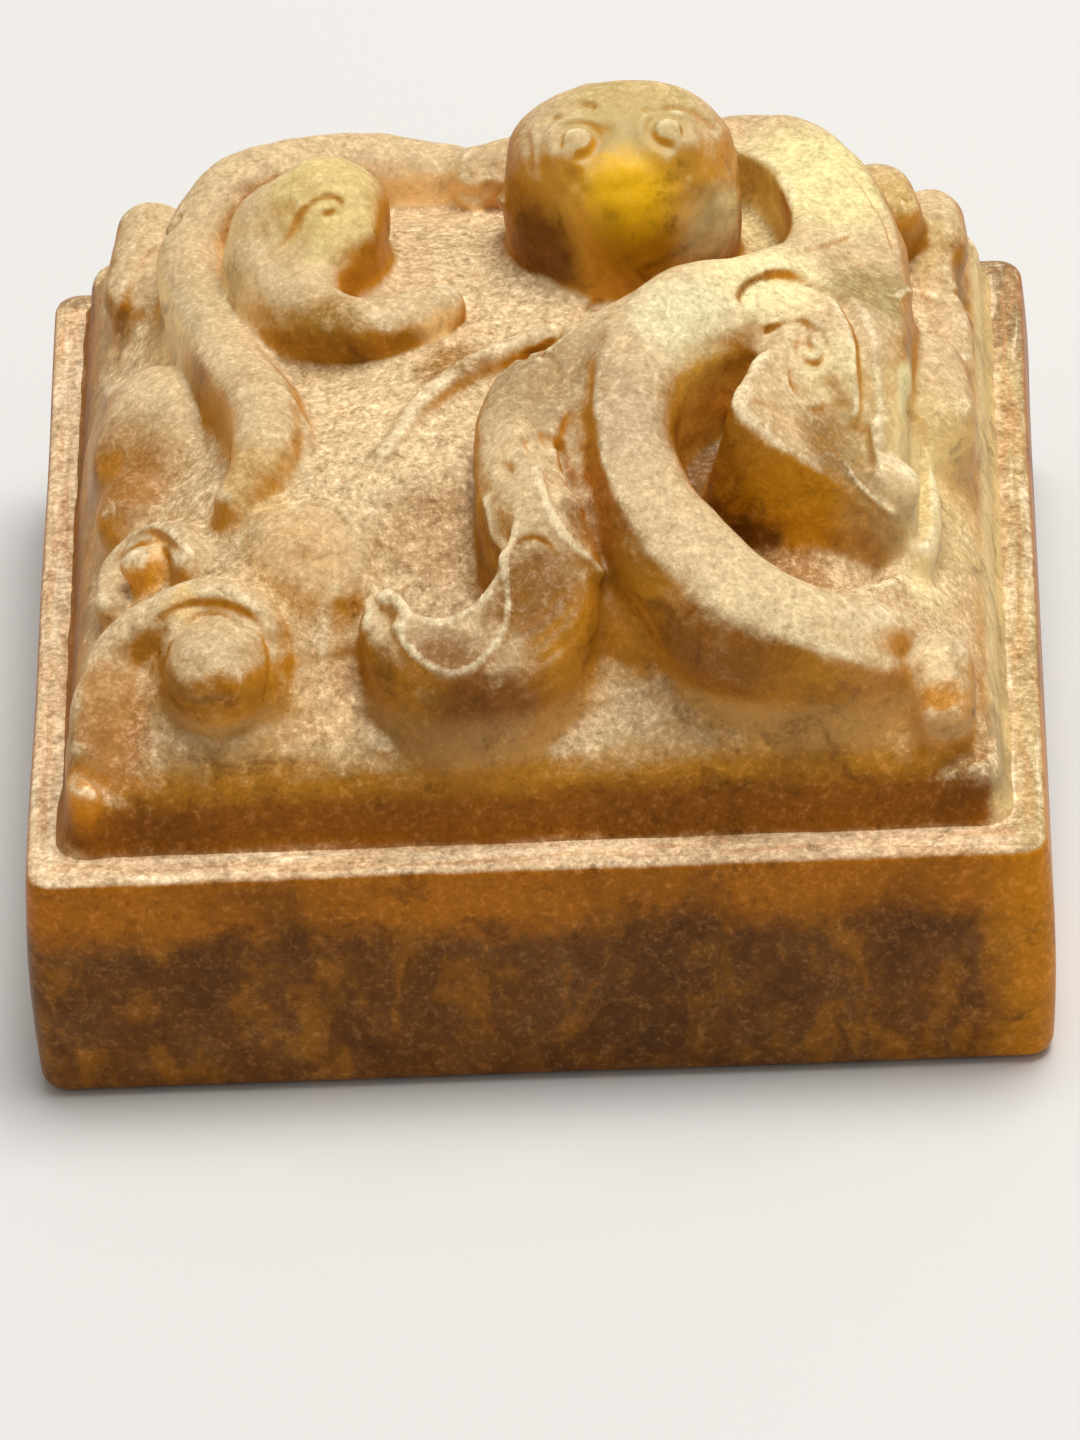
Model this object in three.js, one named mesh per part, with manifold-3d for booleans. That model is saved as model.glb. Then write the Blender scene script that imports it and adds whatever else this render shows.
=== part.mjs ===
// A square seal stamp carved from one block of mottled stone, with a curling dragon in relief on top.
// Millimetres, +Z up, +X to the right and +Y to the back. The origin is the centre of the printing face.
// The one stone is divided into its carved levels and forms, and each of them is a solid of its own.
import * as THREE from "three";
import { mergeVertices } from "three/addons/utils/BufferGeometryUtils.js";
import Module from "manifold-3d";

const wasm = await Module();
wasm.setup();

// Driving sizes of the block, the tier and the domed ground
const blockWidth = 45;
const blockHeight = 11.8;
const blockCornerRadius = 1.2;
const blockBulge = 0.25;
const footRound = 0.8;
const topEdgeRound = 0.35;
const tierHeight = 2.8;
const tierCornerRadius = 1.4;
const tierDraft = 0.2;
const ledgeSide = 1.9;
const ledgeFront = 2.3;
const ledgeBack = 1.2;
const domeRise = 9.3;
const domeSquareness = 12;
const domeFullness = 3;

// Driving sizes of the printing face
const faceDepth = 0.9;
const facePlate = 2.2;
const faceRim = 2.6;
const fretStrip = 1.5;
const fretGap = 1.3;

// Driving radii of the carved forms, and the gap at each curved seat
const bodyRadius = 2.1;
const haunchRadius = 2.6;
const limbRadius = 1.6;
const frontLimbRadius = 2.2;
const pawRadius = 2.8;
const lobeRadius = 1.8;
const curlRadius = 1.2;
const wispRadius = 0.65;
const beadRadius = 2.0;
const smallBeadRadius = 0.95;
const discRadius = 2.3;
const discHeight = 0.55;
const headWidth = 10.6;
const headDepth = 7.6;
const headLength = 10.6;
const headRise = 7.6;
const headBoxiness = 2.8;
const muzzleWidth = 5.0;
const muzzleDepth = 3.8;
const muzzleLength = 9.6;
const muzzleReach = 1.3;
const muzzleDrop = 6.0;
const eyeRadius = 1.15;
const eyeSpread = 4.1;
const eyeDrop = 1.5;
const eyeSet = 2.2;
const seatGap = 0.3;

// Driving sizes of the haunch: its round upper knob, and the leaf below it. The leaf's flat top has its rise
// over the ground at the leaf's middle, falls to the right and climbs to the back by these slopes.
const haunchWidth = 7.2;
const haunchLength = 8.0;
const haunchHeight = 6.8;
const haunchLift = 0.5;
const leafRise = 2.7;
const leafFall = 0.89;
const leafClimb = 0.08;

// Counts of facets
const cornerSteps = 4;
const strokeSides = 10;
const capSteps = 2;
const domeSides = 48;
const domeRings = 8;
const domeCrowding = 1.2;
const roundSteps = 3;
const ballSides = 16;
const ballRings = 10;

// Sizes that follow from the driving ones
const blockHalf = blockWidth / 2;
const tierTop = blockHeight + tierHeight;
const tierHalfX = blockHalf - ledgeSide;
const tierHalfY = blockHalf - (ledgeFront + ledgeBack) / 2;
const groundHalfX = tierHalfX - tierDraft;
const groundHalfY = tierHalfY - tierDraft;
const groundCentreY = (ledgeFront - ledgeBack) / 2;
const domeTop = tierTop + domeRise;

// Plan places of the relief are in hundredths of the ground's half widths, from its centre
const hundredth = 1 / 100;

// Stone colours of the levels and forms, with the polish that each is left with
const stone = {
  darkBrown: { color: "#6b4316", roughness: 0.4 },
  honey: { color: "#b9791f", roughness: 0.35 },
  peach: { color: "#d8ab78", roughness: 0.5 },
  sand: { color: "#bf9a74", roughness: 0.6 },
  olive: { color: "#a99a5c", roughness: 0.45 },
  pale: { color: "#c3b496", roughness: 0.45 },
  rust: { color: "#a9662a", roughness: 0.45 },
};

const upright = new THREE.Vector3(0, 0, 1);
const roundness = 2;
const bandSquareness = 3;

// Makes a closed solid from vertex positions and triangles.
function solidFrom(positions, triangles) {
  const geometry = new THREE.BufferGeometry();
  geometry.setAttribute("position", new THREE.Float32BufferAttribute(positions, 3));
  geometry.setIndex(triangles);
  return solidOf(geometry);
}

// Makes a solid from a three.js geometry whose surface is closed.
function solidOf(geometry) {
  const bare = geometry.clone();
  bare.deleteAttribute("normal");
  bare.deleteAttribute("uv");
  const merged = mergeVertices(bare, 1e-4);
  const vertProperties = new Float32Array(merged.attributes.position.array);
  const triVerts = new Uint32Array(merged.index.array);
  return new wasm.Manifold(new wasm.Mesh({ numProp: 3, vertProperties, triVerts }));
}

// Turns a solid back into a named mesh with its own stone finish.
function carvedMesh(name, solid, { color, roughness }) {
  const { vertProperties, triVerts, numProp } = solid.getMesh();
  const positions = [];
  for (let i = 0; i < vertProperties.length; i += numProp) {
    positions.push(vertProperties[i], vertProperties[i + 1], vertProperties[i + 2]);
  }
  const geometry = new THREE.BufferGeometry();
  geometry.setAttribute("position", new THREE.Float32BufferAttribute(positions, 3));
  geometry.setIndex(Array.from(triVerts));
  geometry.computeVertexNormals();
  const material = new THREE.MeshStandardMaterial({ color, roughness, metalness: 0 });
  const mesh = new THREE.Mesh(geometry, material);
  mesh.name = name;
  return mesh;
}

// Joins rings of equal count into one closed skin, with a point or a flat fan at each end.
function skinOfRings(rings, firstPoint, lastPoint) {
  const count = rings[0].length;
  const vertices = [...rings.flat(), firstPoint, lastPoint];
  const first = vertices.length - 2;
  const last = vertices.length - 1;
  const triangles = [];
  for (let r = 0; r + 1 < rings.length; r += 1) {
    for (let i = 0; i < count; i += 1) {
      const j = (i + 1) % count;
      const low = r * count;
      const high = low + count;
      triangles.push(low + i, low + j, high + j);
      triangles.push(low + i, high + j, high + i);
    }
  }
  const top = (rings.length - 1) * count;
  for (let i = 0; i < count; i += 1) {
    const j = (i + 1) % count;
    triangles.push(first, j, i);
    triangles.push(last, top + i, top + j);
  }
  return solidFrom(vertices.flatMap((v) => [v.x, v.y, v.z]), triangles);
}

// A rounded rectangle ring at height z, running anticlockwise seen from above.
function squareRing(halfX, halfY, centreY, radius, z) {
  const ring = [];
  const corners = [
    [1, 1],
    [-1, 1],
    [-1, -1],
    [1, -1],
  ];
  corners.forEach(([sx, sy], quarter) => {
    for (let k = 0; k <= cornerSteps; k += 1) {
      const angle = ((quarter + k / cornerSteps) * Math.PI) / 2;
      const x = sx * (halfX - radius) + radius * Math.cos(angle);
      const y = sy * (halfY - radius) + radius * Math.sin(angle);
      ring.push(new THREE.Vector3(x, centreY + y, z));
    }
  });
  return ring;
}

// A stack of rounded rectangles, each level given as its height and its inset from the half widths.
function squareStack(levels, halfX, halfY, centreY, radius) {
  const rings = levels.map(([z, inset]) => squareRing(halfX - inset, halfY - inset, centreY, radius, z));
  const lowPoint = new THREE.Vector3(0, centreY, levels[0][0]);
  const highPoint = new THREE.Vector3(0, centreY, levels[levels.length - 1][0]);
  return skinOfRings(rings, lowPoint, highPoint);
}

// A plain box from its corner ranges.
function boxBetween([x0, x1], [y0, y1], [z0, z1]) {
  const box = new THREE.BoxGeometry(x1 - x0, y1 - y0, z1 - z0);
  box.translate((x0 + x1) / 2, (y0 + y1) / 2, (z0 + z1) / 2);
  return solidOf(box);
}

// How far out a plan point lies: 0 at the middle of the ground, 1 on its edge.
function reach(x, y) {
  const across = Math.abs(x / groundHalfX) ** domeSquareness;
  const along = Math.abs((y - groundCentreY) / groundHalfY) ** domeSquareness;
  return (across + along) ** (1 / domeSquareness);
}

// Height of the domed ground over a plan point.
function groundHeight(x, y) {
  return tierTop + domeRise * (1 - Math.min(reach(x, y), 1) ** domeFullness);
}

// Direction square to the domed ground at a plan point.
function groundNormal(x, y) {
  const step = groundHalfX * hundredth;
  const slopeX = (groundHeight(x + step, y) - groundHeight(x - step, y)) / (2 * step);
  const slopeY = (groundHeight(x, y + step) - groundHeight(x, y - step)) / (2 * step);
  return new THREE.Vector3(-slopeX, -slopeY, 1).normalize();
}

// The domed ground, raised by the seat gap when it is used as the cutter for a seat.
function domeSolid(lift, base, spread) {
  const rings = [];
  for (let r = 0; r < domeRings; r += 1) {
    const share = 1 - (r / domeRings) ** domeCrowding;
    const ring = [];
    for (let i = 0; i < domeSides; i += 1) {
      const angle = (i / domeSides) * 2 * Math.PI;
      const c = Math.cos(angle);
      const s = Math.sin(angle);
      const scale = (Math.abs(c) ** domeSquareness + Math.abs(s) ** domeSquareness) ** (-1 / domeSquareness);
      const x = (groundHalfX + spread) * share * scale * c;
      const y = (groundHalfY + spread) * share * scale * s;
      const z = tierTop + domeRise * (1 - share ** domeFullness) + lift;
      ring.push(new THREE.Vector3(x, groundCentreY + y, z));
    }
    rings.push(ring);
  }
  if (base < rings[0][0].z) {
    rings.unshift(rings[0].map((v) => new THREE.Vector3(v.x, v.y, base)));
  }
  const lowPoint = new THREE.Vector3(0, groundCentreY, rings[0][0].z);
  const highPoint = new THREE.Vector3(0, groundCentreY, domeTop + lift);
  return skinOfRings(rings, lowPoint, highPoint);
}

// Place of a layout point [x, y, swell, lift] with its radius: x and y are in hundredths of the ground's
// half widths, and lift is counted in radii above the ground.
function placed([x, y, swell, lift], radius) {
  const px = x * hundredth * groundHalfX;
  const py = groundCentreY + y * hundredth * groundHalfY;
  const size = radius * swell;
  return { centre: new THREE.Vector3(px, py, groundHeight(px, py) + lift * size), size };
}

// A carved stroke: a tapering bar along a smooth line over the ground, with round ends. Its section is
// round where squareness is 2, and squared up where it is more.
function strokeSolid(points, radius, squareness, grow) {
  const places = points.map((point) => placed(point, radius));
  const line = new THREE.CatmullRomCurve3(places.map((place) => place.centre));
  const spans = places.length - 1;
  const steps = Math.max(spans, Math.ceil(line.getLength() / radius));
  const rings = [];
  const ringAt = (t, radiusShare, push) => {
    const index = Math.min(Math.floor(t * spans), spans - 1);
    const size = THREE.MathUtils.lerp(places[index].size, places[index + 1].size, t * spans - index) + grow;
    const tangent = line.getTangent(t);
    const side = new THREE.Vector3().crossVectors(tangent, upright).normalize();
    const rise = new THREE.Vector3().crossVectors(side, tangent).normalize();
    const centre = line.getPoint(t).addScaledVector(tangent, push * size);
    const ring = [];
    for (let i = 0; i < strokeSides; i += 1) {
      const angle = (i / strokeSides) * 2 * Math.PI;
      const out = side.clone().multiplyScalar(Math.cos(angle)).addScaledVector(rise, Math.sin(angle));
      const span = Math.abs(Math.cos(angle)) ** squareness + Math.abs(Math.sin(angle)) ** squareness;
      ring.push(centre.clone().addScaledVector(out, size * radiusShare * span ** (-1 / squareness)));
    }
    return { ring, tip: centre };
  };
  for (let k = 1; k <= capSteps; k += 1) {
    const angle = ((k / (capSteps + 1)) * Math.PI) / 2;
    rings.push(ringAt(0, Math.sin(angle), -Math.cos(angle)).ring);
  }
  for (let k = 0; k <= steps; k += 1) {
    rings.push(ringAt(k / steps, 1, 0).ring);
  }
  for (let k = capSteps; k >= 1; k -= 1) {
    const angle = ((k / (capSteps + 1)) * Math.PI) / 2;
    rings.push(ringAt(1, Math.sin(angle), Math.cos(angle)).ring);
  }
  return skinOfRings(rings.map((ring) => ring.reverse()), ringAt(0, 0, -1).tip, ringAt(1, 0, 1).tip);
}

// A rounded knob: a ball stretched to three half widths, squared up by its boxiness (2 leaves it round).
// Its height runs along the axis given.
function knobSolid(centre, halves, boxiness, axis) {
  const turn = new THREE.Quaternion().setFromUnitVectors(upright, axis);
  const ball = new THREE.SphereGeometry(1, ballSides, ballRings);
  const place = ball.attributes.position;
  const v = new THREE.Vector3();
  for (let i = 0; i < place.count; i += 1) {
    v.fromBufferAttribute(place, i);
    const size = Math.abs(v.x) ** boxiness + Math.abs(v.y) ** boxiness + Math.abs(v.z) ** boxiness;
    v.multiplyScalar(size ** (-1 / boxiness)).multiply(halves).applyQuaternion(turn).add(centre);
    place.setXYZ(i, v.x, v.y, v.z);
  }
  return solidOf(ball);
}

// A flat-topped shelf with upright sides. Its outline of layout places runs anticlockwise seen from above.
function shelfSolid(outline, middlePlace, grow) {
  const middle = placed([...middlePlace, 0, 0], 0).centre;
  const corners = outline.map((place) => placed([...place, 0, 0], 0).centre);
  const edge = corners.map((corner, i) => {
    const before = corners[(i + corners.length - 1) % corners.length];
    const after = corners[(i + 1) % corners.length];
    const along = new THREE.Vector2(after.x - before.x, after.y - before.y).normalize();
    return new THREE.Vector2(corner.x + along.y * grow, corner.y - along.x * grow);
  });
  const prism = new THREE.ExtrudeGeometry(new THREE.Shape(edge), { depth: domeRise, bevelEnabled: false });
  const place = prism.attributes.position;
  for (let i = 0; i < place.count; i += 1) {
    const climb = leafClimb * (place.getY(i) - middle.y) - leafFall * (place.getX(i) - middle.x);
    place.setZ(i, place.getZ(i) > 0 ? middle.z + leafRise + climb + grow : tierTop);
  }
  return solidOf(prism);
}

// The largest single body of a solid: a cut can leave thin slivers on its far side.
function largestBody(solid) {
  const bodies = solid.decompose();
  return bodies.reduce((best, body) => (body.volume() > best.volume() ? body : best));
}

const seal = new THREE.Group();

// How far the block's side lies in from its widest line at height z: the side bulges a little.
function sideInset(z) {
  return blockBulge * ((2 * z) / blockHeight - 1) ** 2;
}

// Levels of a quarter round that starts at an edge height and turns into the side.
// Direction 1 is for an edge at the foot of the side and -1 for one at its top.
function roundLevels(edgeZ, radius, direction) {
  const levels = [];
  for (let k = 0; k <= roundSteps; k += 1) {
    const angle = ((k / roundSteps) * Math.PI) / 2;
    const z = edgeZ + direction * radius * (1 - Math.cos(angle));
    levels.push([z, radius * (1 - Math.sin(angle)) + sideInset(z)]);
  }
  return direction > 0 ? levels : levels.reverse();
}

// Printing face: a plate cut with square grooves one inside the other, each linked to the next
function sealFace() {
  const levels = [...roundLevels(0, footRound, 1), [facePlate, sideInset(facePlate)]];
  let plate = squareStack(levels, blockHalf, blockHalf, 0, blockCornerRadius);
  const below = [-footRound, faceDepth];
  const pitch = fretStrip + fretGap;
  let side = 1;
  for (let outer = blockHalf - faceRim; outer - fretGap > fretStrip; outer -= pitch) {
    const inner = outer - fretGap;
    const groove = boxBetween([-outer, outer], [-outer, outer], below);
    const strip = boxBetween([-inner, inner], [-inner, inner], [-facePlate, facePlate]);
    plate = plate.subtract(groove.subtract(strip));
    if (inner - pitch > fretStrip) {
      const linkX = [side * (inner + fretGap / 2), side * (inner - fretStrip - fretGap / 2)];
      const link = boxBetween([Math.min(...linkX), Math.max(...linkX)], [-fretGap / 2, fretGap / 2], below);
      plate = plate.subtract(link);
    }
    side = -side;
  }
  return plate;
}
seal.add(carvedMesh("seal_face", sealFace(), stone.darkBrown));

// Base block: slightly bulging sides and a softened top edge
const blockMiddle = (facePlate + blockHeight) / 2;
const blockSolid = squareStack(
  [
    [facePlate, sideInset(facePlate)],
    [blockMiddle, sideInset(blockMiddle)],
    ...roundLevels(blockHeight, topEdgeRound, -1),
  ],
  blockHalf,
  blockHalf,
  0,
  blockCornerRadius,
);
seal.add(carvedMesh("seal_block", blockSolid, stone.darkBrown));

// Upper tier: a low step with a slight draft, set back on the block by its ledges
const tierSolid = squareStack(
  [
    [blockHeight, 0],
    [tierTop, tierDraft],
  ],
  tierHalfX,
  tierHalfY,
  groundCentreY,
  tierCornerRadius,
);
seal.add(carvedMesh("upper_tier", tierSolid, stone.rust));

// Domed ground of the relief
seal.add(carvedMesh("dome_ground", domeSolid(0, tierTop, 0), stone.sand));

// Parts of the dragon's head: a squared knob with a muzzle down its front and an eye on each side
function headKnobs(x, y) {
  const { centre } = placed([x, y, 0, 0], 0);
  const top = domeTop + headRise;
  const front = centre.y - headDepth / 2;
  const knobs = [
    {
      centre: new THREE.Vector3(centre.x, centre.y, top - headLength / 2),
      halves: new THREE.Vector3(headWidth / 2, headDepth / 2, headLength / 2),
      boxiness: headBoxiness,
    },
    {
      centre: new THREE.Vector3(centre.x, front - muzzleReach + muzzleDepth / 2, top - muzzleDrop),
      halves: new THREE.Vector3(muzzleWidth / 2, muzzleDepth / 2, muzzleLength / 2),
      boxiness: roundness,
    },
  ];
  [-1, 1].forEach((hand) => {
    knobs.push({
      centre: new THREE.Vector3(centre.x + (hand * eyeSpread) / 2, front + eyeSet, top - eyeDrop),
      halves: new THREE.Vector3(eyeRadius, eyeRadius, eyeRadius),
      boxiness: roundness,
    });
  });
  return (grow) =>
    knobs.map((knob) => {
      const halves = knob.halves.clone().addScalar(grow);
      return knobSolid(knob.centre, halves, knob.boxiness, upright);
    });
}

// A low round disc lying on its seat on the ground
function discKnob(x, y) {
  return (grow) => {
    const { centre } = placed([x, y, 0, 0], 0);
    const axis = groundNormal(centre.x, centre.y);
    const halves = new THREE.Vector3(discRadius + grow, discRadius + grow, discHeight + grow);
    return [knobSolid(centre.addScaledVector(axis, seatGap), halves, roundness, axis)];
  };
}

// A round bead that stands on the ground, its centre lifted by a share of its radius
function beadKnob(x, y, lift, radius) {
  return (grow) => {
    const { centre, size } = placed([x, y, 1, lift], radius);
    const halves = new THREE.Vector3(1, 1, 1).multiplyScalar(size + grow);
    return [knobSolid(centre, halves, roundness, upright)];
  };
}

// The haunch: a round knob at the top of the curl, and the flat leaf that falls away from it to the front
function haunchParts(knobPlace, leafMiddle, leafOutline) {
  return (grow) => {
    const { centre } = placed([...knobPlace, 1, haunchLift], haunchHeight / 2);
    const halves = new THREE.Vector3(haunchWidth / 2, haunchLength / 2, haunchHeight / 2).addScalar(grow);
    return [knobSolid(centre, halves, roundness, upright), shelfSolid(leafOutline, leafMiddle, grow)];
  };
}

// The carved forms in the order in which they keep their whole shape: a later one is cut back by the
// seat gap where it meets an earlier one. A stroke's points are [x, y, swell, lift] on the layout.
const forms = [
  { name: "dragon_head", finish: stone.honey, parts: headKnobs(22, 36.1) },
  {
    name: "dragon_body",
    finish: stone.pale,
    strokes: [
      {
        radius: bodyRadius,
        squareness: bandSquareness,
        points: [
          [65.4, 23.4, 0.85, 1.15],
          [57.6, 11.7, 0.85, 1.3],
          [46.8, 0.5, 0.9, 1.25],
          [36.1, -7.3, 1, 1.15],
          [26.3, -19, 0.95, 1.1],
          [22.9, -33.7, 0.9, 1],
          [22.9, -47.8, 0.9, 0.9],
          [26.3, -61.5, 1.05, 0.75],
          [33.7, -73.2, 1.25, 0.6],
          [44.9, -82.9, 1.4, 0.5],
          [57.6, -85.4, 1.35, 0.45],
          [69.3, -83.4, 1.15, 0.45],
          [77.1, -80, 0.85, 0.5],
        ],
      },
    ],
  },
  {
    name: "dragon_haunch",
    finish: stone.honey,
    strokes: [{ radius: haunchRadius, points: [[68, -4, 0.9, 0.6], [56, -9, 0.85, 0.5]] }],
    parts: haunchParts([65, -12], [64, -38], [
      [58, -13.4],
      [51.5, -26.6],
      [46.6, -41.3],
      [46.4, -51.8],
      [53.1, -53.5],
      [59.3, -59.7],
      [67.6, -61.7],
      [75.9, -62.5],
      [80.2, -61.5],
      [81.8, -50.2],
      [81.8, -36],
      [80.6, -22],
      [76.7, -10.4],
      [70.8, -2.7],
      [65.5, -2.3],
    ]),
  },
  {
    name: "dragon_neck",
    finish: stone.olive,
    strokes: [
      {
        radius: bodyRadius,
        points: [
          [36.6, 61.5, 0.75, 1.4],
          [47.8, 66.8, 0.8, 1.5],
          [58.5, 64.4, 0.85, 1.4],
          [65.9, 56.1, 0.9, 1.2],
          [69.8, 44.9, 0.95, 1.1],
          [72.7, 30.2, 0.95, 0.95],
          [74.6, 15.6, 0.8, 0.9],
          [75.1, 2, 0.55, 0.8],
        ],
      },
    ],
  },
  {
    name: "dragon_mane",
    finish: stone.rust,
    strokes: [
      {
        radius: limbRadius,
        points: [
          [-9.3, 66.3, 0.85, 1.4],
          [2.9, 65.4, 1, 1.4],
          [19.5, 64.9, 0.9, 1.2],
        ],
      },
    ],
  },
  {
    name: "front_limb",
    finish: stone.rust,
    strokes: [
      {
        radius: frontLimbRadius,
        points: [
          [6.8, -19.5, 0.4, 1.3],
          [0, -27.3, 0.55, 1.1],
          [-2.4, -41, 0.72, 0.8],
          [-0.5, -56.1, 0.9, 0.65],
          [4.4, -68.3, 1, 0.55],
          [4.4, -79, 1, 0.55],
          [-2, -86.8, 0.95, 0.5],
          [-11.7, -89.8, 0.85, 0.55],
          [-22, -87.3, 0.7, 0.65],
          [-28.3, -81, 0.55, 0.85],
          [-29.8, -74.1, 0.42, 1.1],
        ],
      },
    ],
  },
  {
    name: "mane_wisp",
    finish: stone.sand,
    strokes: [
      {
        radius: wispRadius,
        points: [
          [8.3, -3.9, 1.5, 1.4],
          [-4.9, -9.3, 1.1, 0.8],
          [-14.6, -15.1, 0.95, 0.65],
          [-22, -25.9, 0.9, 0.6],
          [-26.8, -35.6, 0.75, 0.6],
        ],
      },
    ],
  },
  {
    name: "left_limb",
    finish: stone.peach,
    strokes: [
      {
        radius: limbRadius,
        points: [
          [-16.6, 72.7, 0.95, 1.15],
          [-31.2, 72.7, 1.05, 1.25],
          [-49.8, 70.2, 1.05, 1.2],
          [-63.9, 64.4, 1, 1.1],
          [-72.7, 53.2, 0.9, 1.05],
          [-73.7, 40.5, 0.9, 0.75],
          [-69.8, 22, 0.9, 0.55],
          [-62.9, -1.5, 0.95, 0.5],
          [-56.1, -22.4, 1, 0.5],
          [-55.6, -37.1, 0.95, 0.5],
          [-61.5, -45.9, 0.65, 0.5],
        ],
      },
    ],
  },
  {
    name: "left_paw",
    finish: stone.honey,
    strokes: [
      {
        radius: pawRadius,
        points: [
          [-42.9, 37.1, 1.02, 0.7],
          [-52.2, 38, 0.88, 0.65],
          [-56.6, 33.2, 0.7, 0.65],
        ],
      },
    ],
  },
  {
    name: "left_paw_toe",
    finish: stone.honey,
    strokes: [
      {
        radius: limbRadius,
        points: [
          [-55.6, 26.3, 1, 0.65],
          [-48.3, 11.2, 0.95, 0.65],
          [-37.6, 1.5, 0.9, 0.7],
          [-26.3, 2.4, 0.8, 0.6],
          [-18, 7.3, 0.7, 0.55],
        ],
      },
    ],
  },
  {
    name: "spiral_disc",
    finish: stone.sand,
    parts: discKnob(-45.9, -60.5),
  },
  {
    name: "corner_bead",
    finish: stone.honey,
    parts: beadKnob(-66.3, -83.4, 0.35, beadRadius),
  },
  {
    name: "corner_curl",
    finish: stone.rust,
    strokes: [
      {
        radius: curlRadius,
        points: [
          [-95.1, -88.8, 0.9, 0.2],
          [-91.7, -80, 1.05, 0.3],
          [-87.8, -71.2, 1.05, 0.4],
          [-80, -66.3, 0.9, 0.45],
          [-68.3, -67.3, 0.65, 0.5],
          [-57.6, -72.2, 0.55, 0.45],
          [-51.7, -80.5, 0.5, 0.35],
          [-52.2, -88.8, 0.4, 0.25],
        ],
      },
    ],
  },
  {
    name: "haunch_bead",
    finish: stone.peach,
    parts: beadKnob(80, -45, 2.6, smallBeadRadius),
  },
  {
    name: "haunch_claw",
    finish: stone.olive,
    strokes: [
      {
        radius: wispRadius,
        points: [
          [83.9, -51.7, 1.3, 0.9],
          [85.9, -36.1, 1.1, 0.9],
          [84.9, -20.5, 1, 0.8],
          [80, -7.8, 0.8, 0.8],
        ],
      },
    ],
  },
  {
    name: "right_side_lobe",
    finish: stone.honey,
    strokes: [{ radius: lobeRadius, points: [[85.9, 13.7, 1.05, 0.45], [88.3, -2.9, 1, 0.35]] }],
  },
  {
    name: "right_edge_curl",
    finish: stone.sand,
    strokes: [
      {
        radius: curlRadius,
        points: [
          [89.3, 53.7, 0.75, 0.8],
          [92.2, 42.9, 0.8, 0.6],
          [93.2, 31.2, 0.7, 0.5],
        ],
      },
    ],
  },
  {
    name: "neck_lobe",
    finish: stone.honey,
    strokes: [{ radius: lobeRadius, points: [[77.1, 66.3, 1.05, 1], [78.5, 60.5, 1.05, 1]] }],
  },
  {
    name: "right_corner_lobe",
    finish: stone.rust,
    strokes: [{ radius: lobeRadius, points: [[88.8, 76.1, 0.9, 0.8], [89.3, 65.4, 0.9, 0.9]] }],
  },
  {
    name: "right_drop",
    finish: stone.honey,
    strokes: [{ radius: lobeRadius, points: [[86.8, -80, 0.85, 0.4], [87.8, -88.8, 0.8, 0.35]] }],
  },
  {
    name: "left_side_lobe",
    finish: stone.peach,
    strokes: [{ radius: lobeRadius, points: [[-82.9, 14.6, 1.05, 0.45], [-87.8, 0, 1.05, 0.35]] }],
  },
  {
    name: "left_side_lobe_low",
    finish: stone.honey,
    strokes: [{ radius: lobeRadius, points: [[-86.8, -19.5, 0.75, 0.4], [-87.3, -24.4, 0.75, 0.4]] }],
  },
  {
    name: "left_ring_curl",
    finish: stone.sand,
    strokes: [
      {
        radius: curlRadius,
        points: [
          [-90.2, -49.8, 0.65, 0.4],
          [-88.8, -40, 0.65, 0.45],
          [-81, -39, 0.65, 0.5],
          [-74.1, -47.8, 0.65, 0.5],
          [-72.7, -56.6, 0.6, 0.5],
        ],
      },
    ],
  },
  {
    name: "left_corner_lobe",
    finish: stone.peach,
    strokes: [
      {
        radius: lobeRadius,
        points: [
          [-84.4, 78, 0.9, 0.5],
          [-87.3, 58.5, 0.8, 0.4],
        ],
      },
    ],
  },
  {
    name: "back_scroll",
    finish: stone.sand,
    strokes: [
      {
        radius: curlRadius,
        points: [
          [-68.3, 85.9, 0.7, 0.5],
          [-53.7, 89.3, 1, 0.5],
          [-37.1, 89.8, 1.05, 0.5],
          [-22.4, 85.9, 0.85, 0.6],
        ],
      },
    ],
  },
  {
    name: "back_tail",
    finish: stone.sand,
    strokes: [
      {
        radius: limbRadius,
        points: [
          [2, 79, 0.75, 0.7],
          [12.7, 87.8, 0.85, 0.5],
          [30.2, 90.2, 0.85, 0.45],
          [47.8, 87.3, 0.7, 0.5],
          [59.5, 81, 0.5, 0.6],
        ],
      },
    ],
  },
];

// Solids of one form, thickened by grow when they are used as a cutter.
function formSolid(form, grow) {
  const strokes = (form.strokes ?? []).map((stroke) => {
    return strokeSolid(stroke.points, stroke.radius, stroke.squareness ?? roundness, grow);
  });
  const solids = form.parts ? [...strokes, ...form.parts(grow)] : strokes;
  return solids.reduce((joined, solid) => joined.add(solid));
}

// Everything carved stays over the tier's top outline and clear of the ground's seat.
const overTier = squareStack(
  [
    [tierTop + seatGap, 0],
    [domeTop + headRise + headLength, 0],
  ],
  groundHalfX,
  groundHalfY,
  groundCentreY,
  tierCornerRadius,
);
let taken = domeSolid(seatGap, blockHeight, seatGap);
forms.forEach((form) => {
  const whole = formSolid(form, 0);
  const carved = largestBody(whole.intersect(overTier).subtract(taken));
  seal.add(carvedMesh(form.name, carved, form.finish));
  taken = taken.add(formSolid(form, seatGap));
});

export default seal;
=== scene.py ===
import math

import bpy
import numpy as np
from mathutils import Matrix, Vector


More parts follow.
